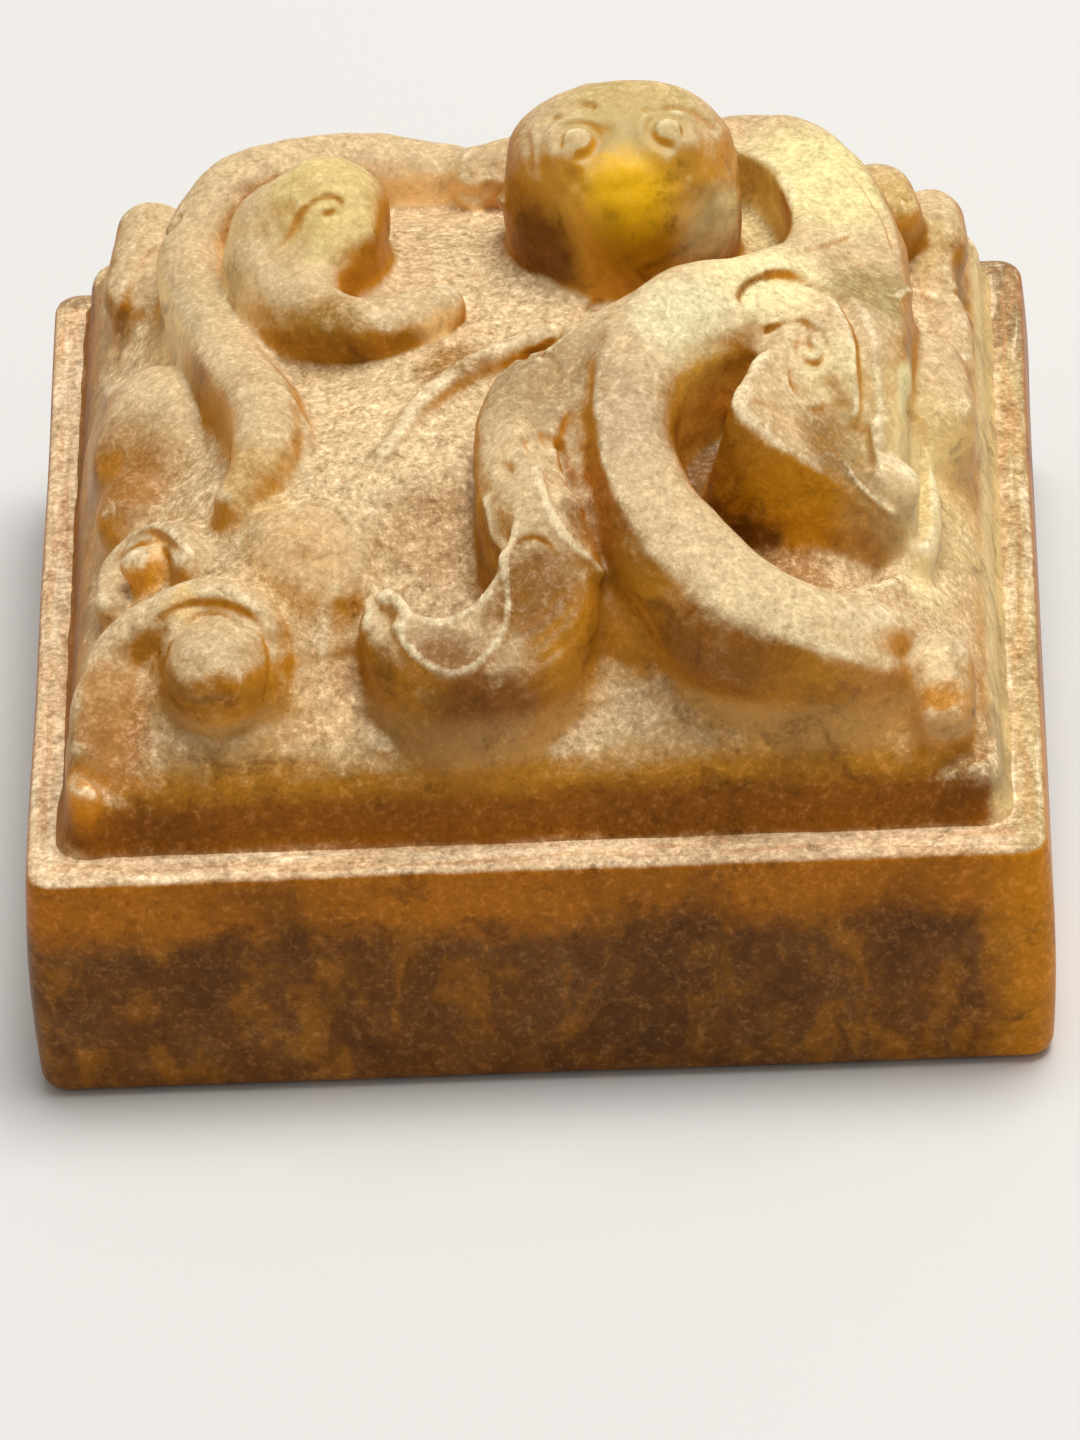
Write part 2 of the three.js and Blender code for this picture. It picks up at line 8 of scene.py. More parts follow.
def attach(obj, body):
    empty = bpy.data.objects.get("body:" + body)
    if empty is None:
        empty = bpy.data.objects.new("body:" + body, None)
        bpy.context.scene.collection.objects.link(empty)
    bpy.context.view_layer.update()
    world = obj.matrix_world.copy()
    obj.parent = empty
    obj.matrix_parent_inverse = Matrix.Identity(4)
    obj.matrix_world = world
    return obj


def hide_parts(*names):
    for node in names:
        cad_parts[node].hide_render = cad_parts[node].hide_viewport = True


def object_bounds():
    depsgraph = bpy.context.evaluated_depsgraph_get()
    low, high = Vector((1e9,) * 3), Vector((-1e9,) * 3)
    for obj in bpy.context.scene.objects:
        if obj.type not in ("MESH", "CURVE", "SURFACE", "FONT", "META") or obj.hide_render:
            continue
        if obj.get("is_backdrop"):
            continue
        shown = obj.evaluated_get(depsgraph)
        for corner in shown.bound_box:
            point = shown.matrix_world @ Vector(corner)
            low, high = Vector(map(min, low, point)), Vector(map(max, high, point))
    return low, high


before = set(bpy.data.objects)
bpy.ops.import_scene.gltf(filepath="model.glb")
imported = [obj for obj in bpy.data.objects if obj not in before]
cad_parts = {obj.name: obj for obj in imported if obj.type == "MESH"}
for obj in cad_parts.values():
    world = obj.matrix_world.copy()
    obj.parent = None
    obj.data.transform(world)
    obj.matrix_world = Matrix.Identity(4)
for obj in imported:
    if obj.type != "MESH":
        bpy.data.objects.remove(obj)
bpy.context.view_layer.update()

# Base block of the stone: sawn square, then rubbed down on a slab by hand, so its sides are a
# little crowned and its arrises are soft. It stands on its printing face, whose fret is cut into
# the underside.
MM = 0.001
block_half = 22.5
block_height = 11.8
block_corner = 1.2
side_bulge = 0.25
foot_round = 0.8
arris_round = 0.4
face_plate = 2.2
hand_swell = 0.05
hand_length = 19
wave_seed = 11
wave_count = 10
wave_share = 4
flattest = 0.2
coarse_grain = 0.2


def open_grid(low, high, grain):
    """Three open axes of sample points from low to high, in millimetres."""
    axes = []
    for a, b in zip(low, high):
        count = int(math.ceil((b - a) / grain)) + 1
        axes.append(np.float32(a) + np.float32(grain) * np.arange(count, dtype=np.float32))
    return np.ix_(*axes)


def rubbed(x, y, z, length):
    """Unevenness from hand rubbing, about -1 to 1, as crossing waves of roughly a given length."""
    chance = np.random.default_rng(wave_seed)
    total = 0
    for _ in range(wave_count):
        way = chance.normal(size=3)
        way *= 2 * math.pi / (length * chance.uniform(0.7, 1.5) * np.linalg.norm(way))
        start = np.float32(chance.uniform(0, 2 * math.pi))
        a, b, c = way.astype(np.float32)
        total = total + np.sin(a * x + b * y + (c * z + start))
    return total / wave_share


def round_meet(a, b, radius):
    """The part that lies inside both shapes, with the edge where they meet rounded over."""
    corner = np.hypot(np.maximum(a + radius, 0), np.maximum(b + radius, 0))
    return np.minimum(np.maximum(a, b), -radius) + corner


def rounded_square(x, y, half_x, half_y, radius):
    """Distance from the outline of a square with rounded corners."""
    a = np.abs(x) - half_x + radius
    b = np.abs(y) - half_y + radius
    return np.hypot(np.maximum(a, 0), np.maximum(b, 0)) + np.minimum(np.maximum(a, b), 0) - radius


def block_body(x, y, z):
    """Distance from the surface of the base block, foot and top arris included."""
    half = block_half - side_bulge * (2 * z / block_height - 1) ** 2
    swell = hand_swell * (1 + rubbed(x, y, z, hand_length))
    sides = rounded_square(x, y, half, half, block_corner) + swell
    return round_meet(round_meet(sides, z - block_height, arris_round), -z, foot_round)


def skin(values, low, grain):
    """Vertices and quads of the surface where a block of samples passes through zero."""
    inside = values < 0
    corners = list(np.ndindex(2, 2, 2))
    count = np.zeros([n - 1 for n in values.shape], np.int8)
    for i, j, k in corners:
        count += inside[i : i + count.shape[0], j : j + count.shape[1], k : k + count.shape[2]]
    cells = np.argwhere((count > 0) & (count < 8))
    label = np.full(count.shape, -1, np.int32)
    label[tuple(cells.T)] = np.arange(len(cells))
    at = {c: values[tuple((cells + c).T)] for c in corners}
    total, hits = np.zeros((len(cells), 3)), np.zeros(len(cells))
    for corner in corners:
        for axis in range(3):
            if corner[axis]:
                continue
            far = tuple(1 if n == axis else c for n, c in enumerate(corner))
            a, b = at[corner], at[far]
            cross = (a < 0) != (b < 0)
            total[cross] += corner
            total[cross, axis] += a[cross] / (a[cross] - b[cross])
            hits[cross] += 1
    vertices = np.asarray(low) + grain * (cells + total / hits[:, None])
    quads = []
    for axis in range(3):
        u, v = (axis + 1) % 3, (axis + 2) % 3
        near, far = [slice(1, -1)] * 3, [slice(1, -1)] * 3
        near[axis], far[axis] = slice(0, -1), slice(1, None)
        leaves = inside[tuple(near)] & ~inside[tuple(far)]
        enters = ~inside[tuple(near)] & inside[tuple(far)]
        for mask, order in ((leaves, 1), (enters, -1)):
            edge = np.argwhere(mask) + 1
            edge[:, axis] -= 1
            ring = []
            for du, dv in ((1, 1), (0, 1), (0, 0), (1, 0)):
                cell = edge.copy()
                cell[:, u] -= du
                cell[:, v] -= dv
                ring.append(label[tuple(cell.T)])
            quads.append(np.stack(ring[::order], 1))
    return vertices, np.concatenate(quads)


def sampled(values, low, grain, points):
    """Value of a block of samples at any points, by straight-line blending."""
    place = (points - np.asarray(low)) / grain
    base = np.clip(np.floor(place).astype(int), 0, np.array(values.shape) - 2)
    share = np.clip(place - base, 0, 1)
    result = np.zeros(len(points))
    for corner in np.ndindex(2, 2, 2):
        weight = np.ones(len(points))
        for axis, far in enumerate(corner):
            weight = weight * (share[:, axis] if far else 1 - share[:, axis])
        result += weight * values[tuple((base + corner).T)]
    return result


def slope(values, low, grain, points):
    """Direction in which a block of samples rises fastest at any points, not scaled to one."""
    steps = []
    for axis in range(3):
        push = np.zeros(3)
        push[axis] = grain
        ahead = sampled(values, low, grain, points + push)
        steps.append((ahead - sampled(values, low, grain, points - push)) / (2 * grain))
    return np.stack(steps, 1)


def settled(vertices, values, low, grain, rounds=2):
    """Vertices moved onto the exact zero surface of a block of samples."""
    for _ in range(rounds):
        rise = slope(values, low, grain, vertices)
        off = sampled(values, low, grain, vertices)
        step = off / np.maximum((rise**2).sum(1), flattest)
        vertices = vertices - np.clip(step, -grain, grain)[:, None] * rise
    return vertices


# Upper tier and domed ground: the step was cut back on all four sides with a square chisel, and its
# top was left as a cushion. All forms stand on it, and small hollows are sunk in it round them.
tier_height = 2.8
tier_corner = 1.4
tier_draft = 0.2
tier_round = 1.1
foot_flare = 0.35
flare_rise = 0.45
ledge_side = 1.9
ledge_front = 2.3
ledge_back = 1.2
dome_rise = 9.3
dome_squareness = 12
dome_fullness = 3
wall_round = 0.5
slow_swell, slow_length = 0.05, 3.4
quick_swell, quick_length = 0.022, 1.3
tier_top = block_height + tier_height
tier_half_x = block_half - ledge_side
tier_half_y = block_half - (ledge_front + ledge_back) / 2
ground_half = np.array([tier_half_x - tier_draft, tier_half_y - tier_draft])
ground_centre_y = (ledge_front - ledge_back) / 2
fine_grain = 0.16
relief_low = np.array([-21.2, -20.9, block_height - 0.5])
relief_high = np.array([21.2, 22.0, 32.2])
form_margin = 1.3
far_away = 3.0
form_step = 0.3
outline_step = 0.8
cut_step = 0.25
cut_fade = 0.85
cut_reach = 2.2
cut_rounds = 8
steepest = 2.5
band_steepest = 2
band_depth = 4
shelf_reach = 6
shelf_depth = 5


def ground_height(x, y):
    """Height of the cushion over any plan point, before anything is sunk in it."""
    across = np.abs(x / ground_half[0]) ** dome_squareness
    along = np.abs((y - ground_centre_y) / ground_half[1]) ** dome_squareness
    reach = (across + along) ** (1 / dome_squareness)
    return tier_top + dome_rise * (1 - np.minimum(reach, 1) ** dome_fullness)


def laid_out(points):
    """Places on the cushion for points that begin with x and y, in hundredths of its half width."""
    x = np.array([p[0] for p in points]) / 100 * ground_half[0]
    y = ground_centre_y + np.array([p[1] for p in points]) / 100 * ground_half[1]
    return np.column_stack([x, y, ground_height(x, y)])


def placed(points, radius):
    """Centres and radii of round shapes at points [x, y, swell, lift]."""
    swell, lift = np.array(points, float)[:, 2:].T
    centres = laid_out(points)
    centres[:, 2] += lift * radius * swell
    return centres, radius * swell


def smooth_line(knots, step):
    """Points along a smooth line through knots, and how far along the knots each of them is."""
    chain = np.vstack([2 * knots[0] - knots[1], knots, 2 * knots[-1] - knots[-2]])
    line, along = [], []
    for i in range(1, len(chain) - 2):
        p0, p1, p2, p3 = chain[i - 1 : i + 3]
        gaps = (p1 - p0, p2 - p1, p3 - p2)
        t0, t1, t2 = (max(np.linalg.norm(gap) ** 0.5, 1e-3) for gap in gaps)
        leave = ((p1 - p0) / t0 - (p2 - p0) / (t0 + t1) + (p2 - p1) / t1) * t1
        arrive = ((p2 - p1) / t1 - (p3 - p1) / (t1 + t2) + (p3 - p2) / t2) * t1
        last = i == len(chain) - 3
        count = max(2, int(math.ceil(np.linalg.norm(p2 - p1) / step)))
        for w in np.linspace(0, 1, count, endpoint=False).tolist() + ([1.0] if last else []):
            cubic = (2 * w**3 - 3 * w**2 + 1) * p1 + (3 * w**2 - 2 * w**3) * p2
            line.append(cubic + (w**3 - 2 * w**2 + w) * leave + (w**3 - w**2) * arrive)
            along.append(i - 1 + w)
    return np.array(line), np.array(along)


def closed_line(corners):
    """Plan points along a smooth closed line through the corners of an outline."""
    return smooth_line(np.vstack([corners, corners[:1]]), outline_step)[0][:-1, :2]


def soft_join(a, b, blend):
    """Both shapes together, with the crease between them filled over a given distance."""
    if blend <= 0:
        return np.minimum(a, b)
    near = np.maximum(blend - np.abs(a - b), 0) / blend
    return np.minimum(a, b) - near * near * blend / 4


def beside(a, b, axes):
    """The share of the way from a to b that is nearest to each sample, and how far off the sample
    lies from there along each axis."""
    way = b - a
    share = sum((axis - p) * w for axis, p, w in zip(axes, a, way)) / (way @ way + 1e-9)
    share = np.clip(share, 0, 1)
    return share, [axis - p - share * w for axis, p, w in zip(axes, a, way)]


def over(z, height, limit):
    """Distance of samples above a surface of a given height, true up to a limit of its
    steepness."""
    steep = np.minimum(np.hypot(*np.gradient(height, fine_grain)), limit)
    return (z - height[:, :, None]) / np.sqrt(1 + steep**2)[:, :, None]


def lower(values, part, local, fresh):
    """Brings the samples of a part down to fresh ones, inside a local window of it."""
    inner = tuple(slice(s.start - p.start, s.stop - p.start) for s, p in zip(local, part))
    np.minimum(values[inner], fresh, out=values[inner])


def empty(part, value):
    """A block of samples of a part's size, all at one value."""
    return np.full([s.stop - s.start for s in part], value, np.float32)


class Relief:
    """The block of samples that the carved top is worked in, one form after another."""

    def __init__(self):
        self.x, self.y, self.z = open_grid(relief_low, relief_high, fine_grain)
        self.everywhere = tuple(slice(0, axis.size) for axis in (self.x, self.y, self.z))
        self.forms = {}
        self.lines = []
        self.sunk = empty(self.everywhere[:2], 0)

    def window(self, low, high):
        """The part of the samples between two corners."""
        spans = []
        for a, b, base, whole in zip(low, high, relief_low, self.everywhere):
            first = int(np.clip((a - base) / fine_grain, 0, whole.stop - 1))
            last = int(np.clip((b - base) / fine_grain + 2, first + 1, whole.stop))
            spans.append(slice(first, last))
        return tuple(spans)

    def axes(self, part):
        """The sample points of a part, as three open axes."""
        return self.x[part[0]], self.y[:, part[1]], self.z[:, :, part[2]]

    def plan(self, part):
        """The plan points of a part, as two open axes."""
        return self.x[part[0], :, 0], self.y[:, part[1], 0]

    def bar(self, part, line, sizes):
        """Distance from a tapering round bar along a line."""
        values = empty(part, far_away)
        for a, b, ra, rb in zip(line[:-1], line[1:], sizes[:-1], sizes[1:]):
            near = max(ra, rb) + form_margin
            local = self.window(np.minimum(a, b) - near, np.maximum(a, b) + near)
            spans = zip(local, part)
            local = tuple(slice(max(s.start, p.start), min(s.stop, p.stop)) for s, p in spans)
            if all(s.stop > s.start for s in local):
                share, off = beside(a, b, self.axes(local))
                away = np.sqrt(sum(o**2 for o in off))
                lower(values, part, local, away - (ra + (rb - ra) * share))
        return values

    def knob(self, part, centre, halves, boxiness):
        """Distance from a knob, round at a boxiness of 2 and squarer above it."""
        spans = zip(self.axes(part), centre, halves)
        size = sum(np.abs((axis - c) / h) ** boxiness for axis, c, h in spans) ** (1 / boxiness)
        return ((size - 1) * float(np.min(halves))).astype(np.float32)

    def outline_gap(self, part, ring):
        """Distance of plan places from an outline, below zero inside it."""
        x, y = self.plan(part)
        gap = empty(part[:2], np.inf)
        inside = np.zeros(gap.shape, bool)
        for a, b in zip(ring, np.roll(ring, -1, 0)):
            gap = np.minimum(gap, np.hypot(*beside(a, b, (x, y))[1]))
            spans = (a[1] > y) != (b[1] > y)
            inside ^= spans & (x < a[0] + (y - a[1]) * (b - a)[0] / ((b - a)[1] or 1e-9))
        return np.where(inside, -gap, gap)

    def shelf(self, part, outline, rounding, plane, slant):
        """Distance from a flat-topped shelf. Its outline is [x, y, height over the ground], it has
        a rounding for its edge and a slant for its wall, and its top may lie in a plane of its
        own."""
        x, y, z = self.axes(part)
        corners = laid_out(outline)
        spread = np.column_stack([corners[:, :2], np.ones(len(corners))])
        lean = plane or np.linalg.lstsq(spread, [rise for _, _, rise in outline], rcond=None)[0]
        base = 0 if plane else ground_height(x, y)
        height = (lean[0] * x + lean[1] * y + lean[2] + base)[:, :, 0]
        wall = self.outline_gap(part, closed_line(corners))[:, :, None]
        wall = (wall + slant * (z - height[:, :, None])) / math.hypot(1, slant)
        return round_meet(over(z, height, steepest), wall, rounding).astype(np.float32)

    def band(self, part, points, rounding):
        """Distance from a flat-topped band. Its points are [x, y, half width, height of its top,
        lean], and it has a rounding for its left edge and one for its right edge."""
        knots = np.column_stack([laid_out(points)[:, :2], np.array(points)[:, 2:]])
        line, _ = smooth_line(knots, form_step)
        best = np.zeros((5, *empty(part[:2], 0).shape))
        best[0] = np.inf
        for a, b in zip(line[:-1], line[1:]):
            share, off = beside(a[:2], b[:2], self.plan(part))
            way = (b - a)[:2]
            across = (way[0] * off[1] - way[1] * off[0]) / np.hypot(*way)
            fresh = [np.hypot(*off), across, *(p + share * (q - p) for p, q in zip(a[2:], b[2:]))]
            best = np.where(fresh[0] < best[0], fresh, best)
        near, side, half, level, lean = best
        top = over(self.axes(part)[2], level + lean * side, band_steepest)
        edge = np.where(side > 0, *rounding)[:, :, None]
        return round_meet(top, (near - half)[:, :, None], edge).astype(np.float32)

    def form(self, name, slot, bars=(), knobs=(), shelves=(), bands=(), soften=0.0, foot=0.9):
        """Adds one carved form: bars (radius, points), knobs, shelves and bands, softened where
        they meet, and with a foot that fills its crease with the ground."""
        rods = []
        for radius, points in bars:
            centres, sizes = placed(points, radius)
            line, along = smooth_line(centres, form_step)
            rods.append((line, np.interp(along, np.arange(len(sizes)), sizes)))
        ends = [line - sizes[:, None] for line, sizes in rods] + [[c - h] for c, h, _ in knobs]
        tops = [line + sizes[:, None] for line, sizes in rods] + [[c + h] for c, h, _ in knobs]
        for outline, _, _, slant in shelves:
            spread = [shelf_reach * slant, shelf_reach * slant, shelf_depth]
            ends.append(laid_out(outline) - spread)
            tops.append(laid_out(outline) + spread)
        for points, _ in bands:
            plan = laid_out(points)
            half, level = np.array(points)[:, 2:4].T
            ends.append(plan - np.column_stack([half, half, 0 * half + band_depth]))
            tops.append(np.column_stack([plan[:, 0] + half, plan[:, 1] + half, level + 1]))
        low, high = np.vstack(ends).min(0), np.vstack(tops).max(0)
        part = self.window(low - form_margin, high + form_margin)
        shapes = [self.bar(part, *rod) for rod in rods] + [self.knob(part, *knob) for knob in knobs]
        shapes += [self.shelf(part, *shelf) for shelf in shelves]
        shapes += [self.band(part, *band) for band in bands]
        values = np.minimum(shapes[0], np.float32(far_away))
        for shape in shapes[1:]:
            values = soft_join(values, shape, soften)
        self.forms[name] = (part, values, foot, slot)

    def cut(self, lines):
        """Cuts grooves along points [x, y, height], each with its width and depth, or raises a
        ridge where the depth is below zero."""
        for points, width, depth in lines:
            path = laid_out(points)
            path[:, 2] = [height for _, _, height in points]
            self.lines.append((path, width, depth))

    def sink(self, points, depth, edge):
        """Sinks the ground by a depth inside a plan outline, with a soft edge."""
        gap = self.outline_gap(self.everywhere, closed_line(laid_out(points)))
        share = np.clip(0.5 - gap / edge, 0, 1)
        self.sunk += (depth * share * share * (3 - 2 * share)).astype(np.float32)

    def walls(self):
        """Distance from the tier's four walls, over the whole height of the relief."""
        draft = tier_draft * (self.z - block_height) / tier_height
        draft = draft - foot_flare * np.exp(-(self.z - block_height) / flare_rise)
        half_x, half_y = tier_half_x - draft, tier_half_y - draft
        return rounded_square(self.x, self.y - ground_centre_y, half_x, half_y, tier_corner)

    def ground(self):
        """Distance from the bare ground and tier, with the sunk parts in it."""
        height = (ground_height(self.x, self.y)[:, :, 0] - self.sunk).astype(np.float32)
        top = over(self.z, height, steepest)
        return round_meet(top, self.walls(), tier_round).astype(np.float32)

    def finished(self, total):
        """The whole relief kept inside the walls, with the unevenness of the hand and its lines
        cut."""
        total = round_meet(total, self.walls(), wall_round).astype(np.float32)
        slow = rubbed(self.x, self.y, self.z, slow_length).astype(np.float32)
        total += np.float32(slow_swell) * slow
        quick = rubbed(self.y, self.z, self.x, quick_length).astype(np.float32)
        total += np.float32(quick_swell) * quick
        bare = total.copy()
        for points, width, depth in self.lines:
            line, _ = smooth_line(points, cut_step)
            line = settled(line, bare, relief_low, fine_grain, cut_rounds)
            upright = slope(bare, relief_low, fine_grain, line)
            upright /= np.linalg.norm(upright, axis=1, keepdims=True)
            reach = cut_reach * width + abs(depth) / 2
            part = self.window(line.min(0) - reach, line.max(0) + reach)
            gap = empty(part, far_away**2)
            for a, b, out in zip(line[:-1], line[1:], upright):
                local = self.window(np.minimum(a, b) - reach, np.maximum(a, b) + reach)
                _, off = beside(a, b, self.axes(local))
                above = sum(n * o for n, o in zip(out, off))
                lower(gap, part, local, sum(o * o for o in off) - cut_fade * above**2)
            total[part] += np.float32(depth) * np.exp(-gap / width**2)
        return total


relief = Relief()

# Head: a squared knob that looks to the front, the highest part of the stone, with a muzzle down
# its face and a round eye on each side of it. It was left standing when the back was cut down.
head_size = np.array([10.6, 7.6, 10.6])
head_rise = 7.35
head_boxiness = 2.55
muzzle = np.array([5.6, 4.2, 9.6])
muzzle_boxiness = 2.15
muzzle_reach = 1.3
muzzle_drop = 6.0
eye_radius = 1.15
eye_spread = 4.1
eye_drop = 1.5
eye_set = 2.2
head_x, head_y, _ = laid_out([[22, 36.1]])[0]
head_top = tier_top + dome_rise + head_rise
head_front = head_y - head_size[1] / 2
head_knobs = [
    (np.array([head_x, head_y, head_top - head_size[2] / 2]), head_size / 2, head_boxiness),
    (
        np.array([head_x, head_front - muzzle_reach + muzzle[1] / 2, head_top - muzzle_drop]),
        muzzle / 2,
        muzzle_boxiness,
    ),
]
for hand in (-1, 1):
    eye = np.array([head_x + hand * eye_spread / 2, head_front + eye_set, head_top - eye_drop])
    head_knobs.append((eye, np.full(3, eye_radius), 2))
relief.form("dragon_head", "honey_stone", knobs=head_knobs, soften=0.9)
relief.cut([
    ([[8.3, 33.5, 30.5], [10.4, 33.5, 31], [13.4, 36.2, 30.8], [16.5, 34.2, 30.9]], 0.2, 0.32),
    ([[9.4, 25, 30.4], [10.1, 27.9, 30.7], [12.8, 29, 30.9], [16, 28.4, 30.8], [17.4, 26.3, 30.4],
      [16.3, 23.6, 30.2], [13.7, 22.6, 30.1]], 0.18, 0.34),
    ([[28.6, 32.3, 30.9], [31.7, 33, 31.1], [34.7, 35.4, 30.8], [38.5, 35.7, 30.3],
      [42.1, 33.9, 29.7]], 0.2, 0.32),
    ([[36.3, 26.9, 30.5], [35.5, 29.9, 30.7], [33, 30.3, 31], [30.1, 29.4, 31], [29, 26.4, 30.8],
      [30.4, 24.2, 30.5], [32.8, 23.8, 30.3]], 0.18, 0.34),
    ([[37.3, 20.9, 28.9], [37, 18.5, 27.7], [36.5, 17.2, 26.2], [36, 17.1, 25]], 0.18, -0.09),
    ([[46.3, 60.2, 25.4], [47.1, 31.3, 27.9], [47, 28.3, 26.1], [46.5, 27.2, 24.4]], 0.18, -0.08),
    ([[12.4, 20.7, 29.4], [12, 18.3, 28.5], [12, 16.6, 27.4], [12.3, 15.4, 26.2]], 0.35, 0.15),
    ([[19.4, 27.2, 30.7], [17.2, 24.3, 30.2], [14.7, 21.2, 29.9], [12.8, 20.4, 29.2]], 0.35, 0.14),
    ([[3.3, 33.1, 30.2], [3.7, 27, 30], [3.7, 23.3, 29.2], [2.5, 22.1, 27.7]], 0.2, -0.06),
])

# Body: leaves the neck, crosses in front of the head and sweeps round to the front right in a thick
# C. Its flat top leans in towards the C, crisp at its outer edge and round at its inner one.
body_radius = 2.1
body_points = [
    [73, 33, 0.85, 0.95], [65.4, 23.4, 0.85, 1.15], [57.6, 11.7, 0.85, 1.3], [46.8, 0.5, 0.9, 1.25],
    [36.1, -7.3, 1, 1.15], [26.3, -19, 0.95, 1.1], [22.9, -33.7, 0.9, 1], [22.9, -47.8, 0.9, 0.9],
    [26.3, -61.5, 1.05, 0.75], [33.7, -73.2, 1.25, 0.6], [44.9, -82.9, 1.4, 0.5],
    [57.6, -84.4, 1.25, 0.4], [69.3, -82.4, 0.95, 0.3], [77.1, -80, 0.6, 0.2],
]
saddle_outline = [
    [28, -10, 4.1], [39, -3, 4.5], [52, 3, 4.6], [62, 14, 4.5], [70, 22, 4.2], [73, 8, 3.8],
    [72, -4, 3.6], [60, -4, 4], [47, -14, 4.1], [37, -24, 3.9], [26, -26, 3.8],
]
c_band = [
    [68, 4, 1.1, 24.9, -0.05], [60, -2, 1.7, 25.9, -0.05], [51, -6, 2, 26.8, -0.1],
    [39, -15, 2.1, 27.3, -0.15], [29.5, -26, 1.9, 27.4, -0.2], [24.6, -38, 1.7, 27, -0.2],
    [24.2, -50, 1.6, 26.2, -0.2], [27, -61, 1.7, 25.2, -0.15], [33, -71, 1.9, 24.4, 0],
    [41, -80, 2, 23.5, 0.15], [51, -86, 1.9, 22.5, 0.3], [61, -88, 1.8, 21.6, 0.35],
    [71, -87, 1.7, 20.4, 0.35], [79, -84, 1.2, 18.7, 0.3], [85, -82, 0.7, 17, 0.3],
]
relief.form(
    "dragon_body", "pale_stone", [(body_radius, body_points)],
    shelves=[(saddle_outline, 0.9, None, 0)], bands=[(c_band, (1.5, 0.45))], soften=0.8,
)
ring_line = [
    [53.9, -1.1, 26.5], [58.2, 1.8, 26], [64.6, 0, 25.8], [68.4, -4.1, 25.7], [70.9, -12.1, 25.9],
    [72.5, -17.3, 25.5], [73.1, -23, 25], [73.4, -25.7, 24.6], [74.1, -31.4, 23.8],
    [74.3, -37.5, 23.1], [74.7, -42.9, 22.5],
]
relief.cut([
    ([[52.5, 4.4, 27], [60.5, 10.9, 26.1], [67.6, 17.1, 25.6], [71.4, 21.4, 25.3]], 0.16, 0.22),
    ([[47.8, -10.9, 26.9], [48.5, -8.3, 26.9], [50.7, -5.1, 26.9]] + ring_line, 0.3, 0.3),
])

# Haunch: the curl inside the C. A leaf with a knob at its root slopes down to the right, and its
# wall was cut back at a slant. A spiral and fine veins are carved in its top.
haunch_radius = 2.6
leaf_outline = [
    [58, -13.4, 0], [51.5, -26.6, 0], [47.4, -40, 0], [46.2, -50, 0], [49.8, -52.6, 0],
    [55, -52.6, 0], [61.2, -51.8, 0], [68.5, -51.6, 0], [75.9, -52.5, 0], [80.5, -51.5, 0],
    [82.2, -46, 0], [81.8, -36, 0], [80.6, -22, 0], [76.7, -10.4, 0], [70.8, -2.7, 0],
    [65.5, -2.3, 0],
]
leaf_rise = 2.7
lean_x, lean_y = -0.89, 0.08
leaf_x, leaf_y, leaf_z = laid_out([[64, -38]])[0]
leaf_top = (lean_x, lean_y, leaf_z + leaf_rise - lean_x * leaf_x - lean_y * leaf_y)
leaf_round, leaf_slant = 0.5, 0.22
knob_halves = np.array([3.6, 4.0, 3.4])
knob_centre = placed([[65, -12, 1, 0.5]], knob_halves[2])[0][0]
relief.form(
    "dragon_haunch", "honey_stone", [(haunch_radius, [[68, -4, 0.9, 0.6], [56, -9, 0.85, 0.5]])],
    knobs=[(knob_centre, knob_halves, 2)],
    shelves=[(leaf_outline, leaf_round, leaf_top, leaf_slant)], soften=1.0,
)
relief.cut([
    (ring_line, 0.3, 0.26),
    ([[53.6, -16.4, 25.9], [56.9, -15, 26], [60.1, -13.9, 26], [63.3, -17.3, 26],
      [65.3, -20.8, 25.8], [65.5, -23.4, 25.5], [63.7, -25, 25.3], [61.1, -24.9, 25.4],
      [59.7, -23, 25.6], [60.6, -20.1, 25.6], [62.3, -21.5, 25.7]], 0.2, 0.26),
    ([[60.5, -15.2, 25.9], [61.3, -17.9, 25.8], [60.8, -19.3, 25.7]], 0.3, 0.4),
    ([[56.9, -28.4, 25.9], [57, -32.3, 25.7], [58.2, -35.1, 25.4], [60.5, -35.8, 25],
      [63.9, -33.6, 24.6]], 0.2, -0.15),
    ([[50.4, -45.2, 26.5], [55.3, -43.2, 25.5], [60.7, -42.5, 24.5], [66.9, -43.3, 23.4],
      [72.3, -47.5, 22.5]], 0.17, 0.08),
    ([[54.2, -50.8, 25.6], [60.4, -50.2, 24.5], [66.6, -50.6, 23.3],
      [73.4, -51.9, 21.9]], 0.17, 0.07),
    ([[69, -46.3, 23.3], [71.4, -49.5, 22.8], [74.3, -51.6, 22.1],
      [78.6, -52.5, 21.3]], 0.2, -0.19),
    ([[82.1, -18.9, 22.3], [84, -11.2, 19.9], [85.1, -15.5, 19.1], [84.9, -31.4, 18.8],
      [83.6, -50.7, 19.6]], 0.2, 0.25),
])

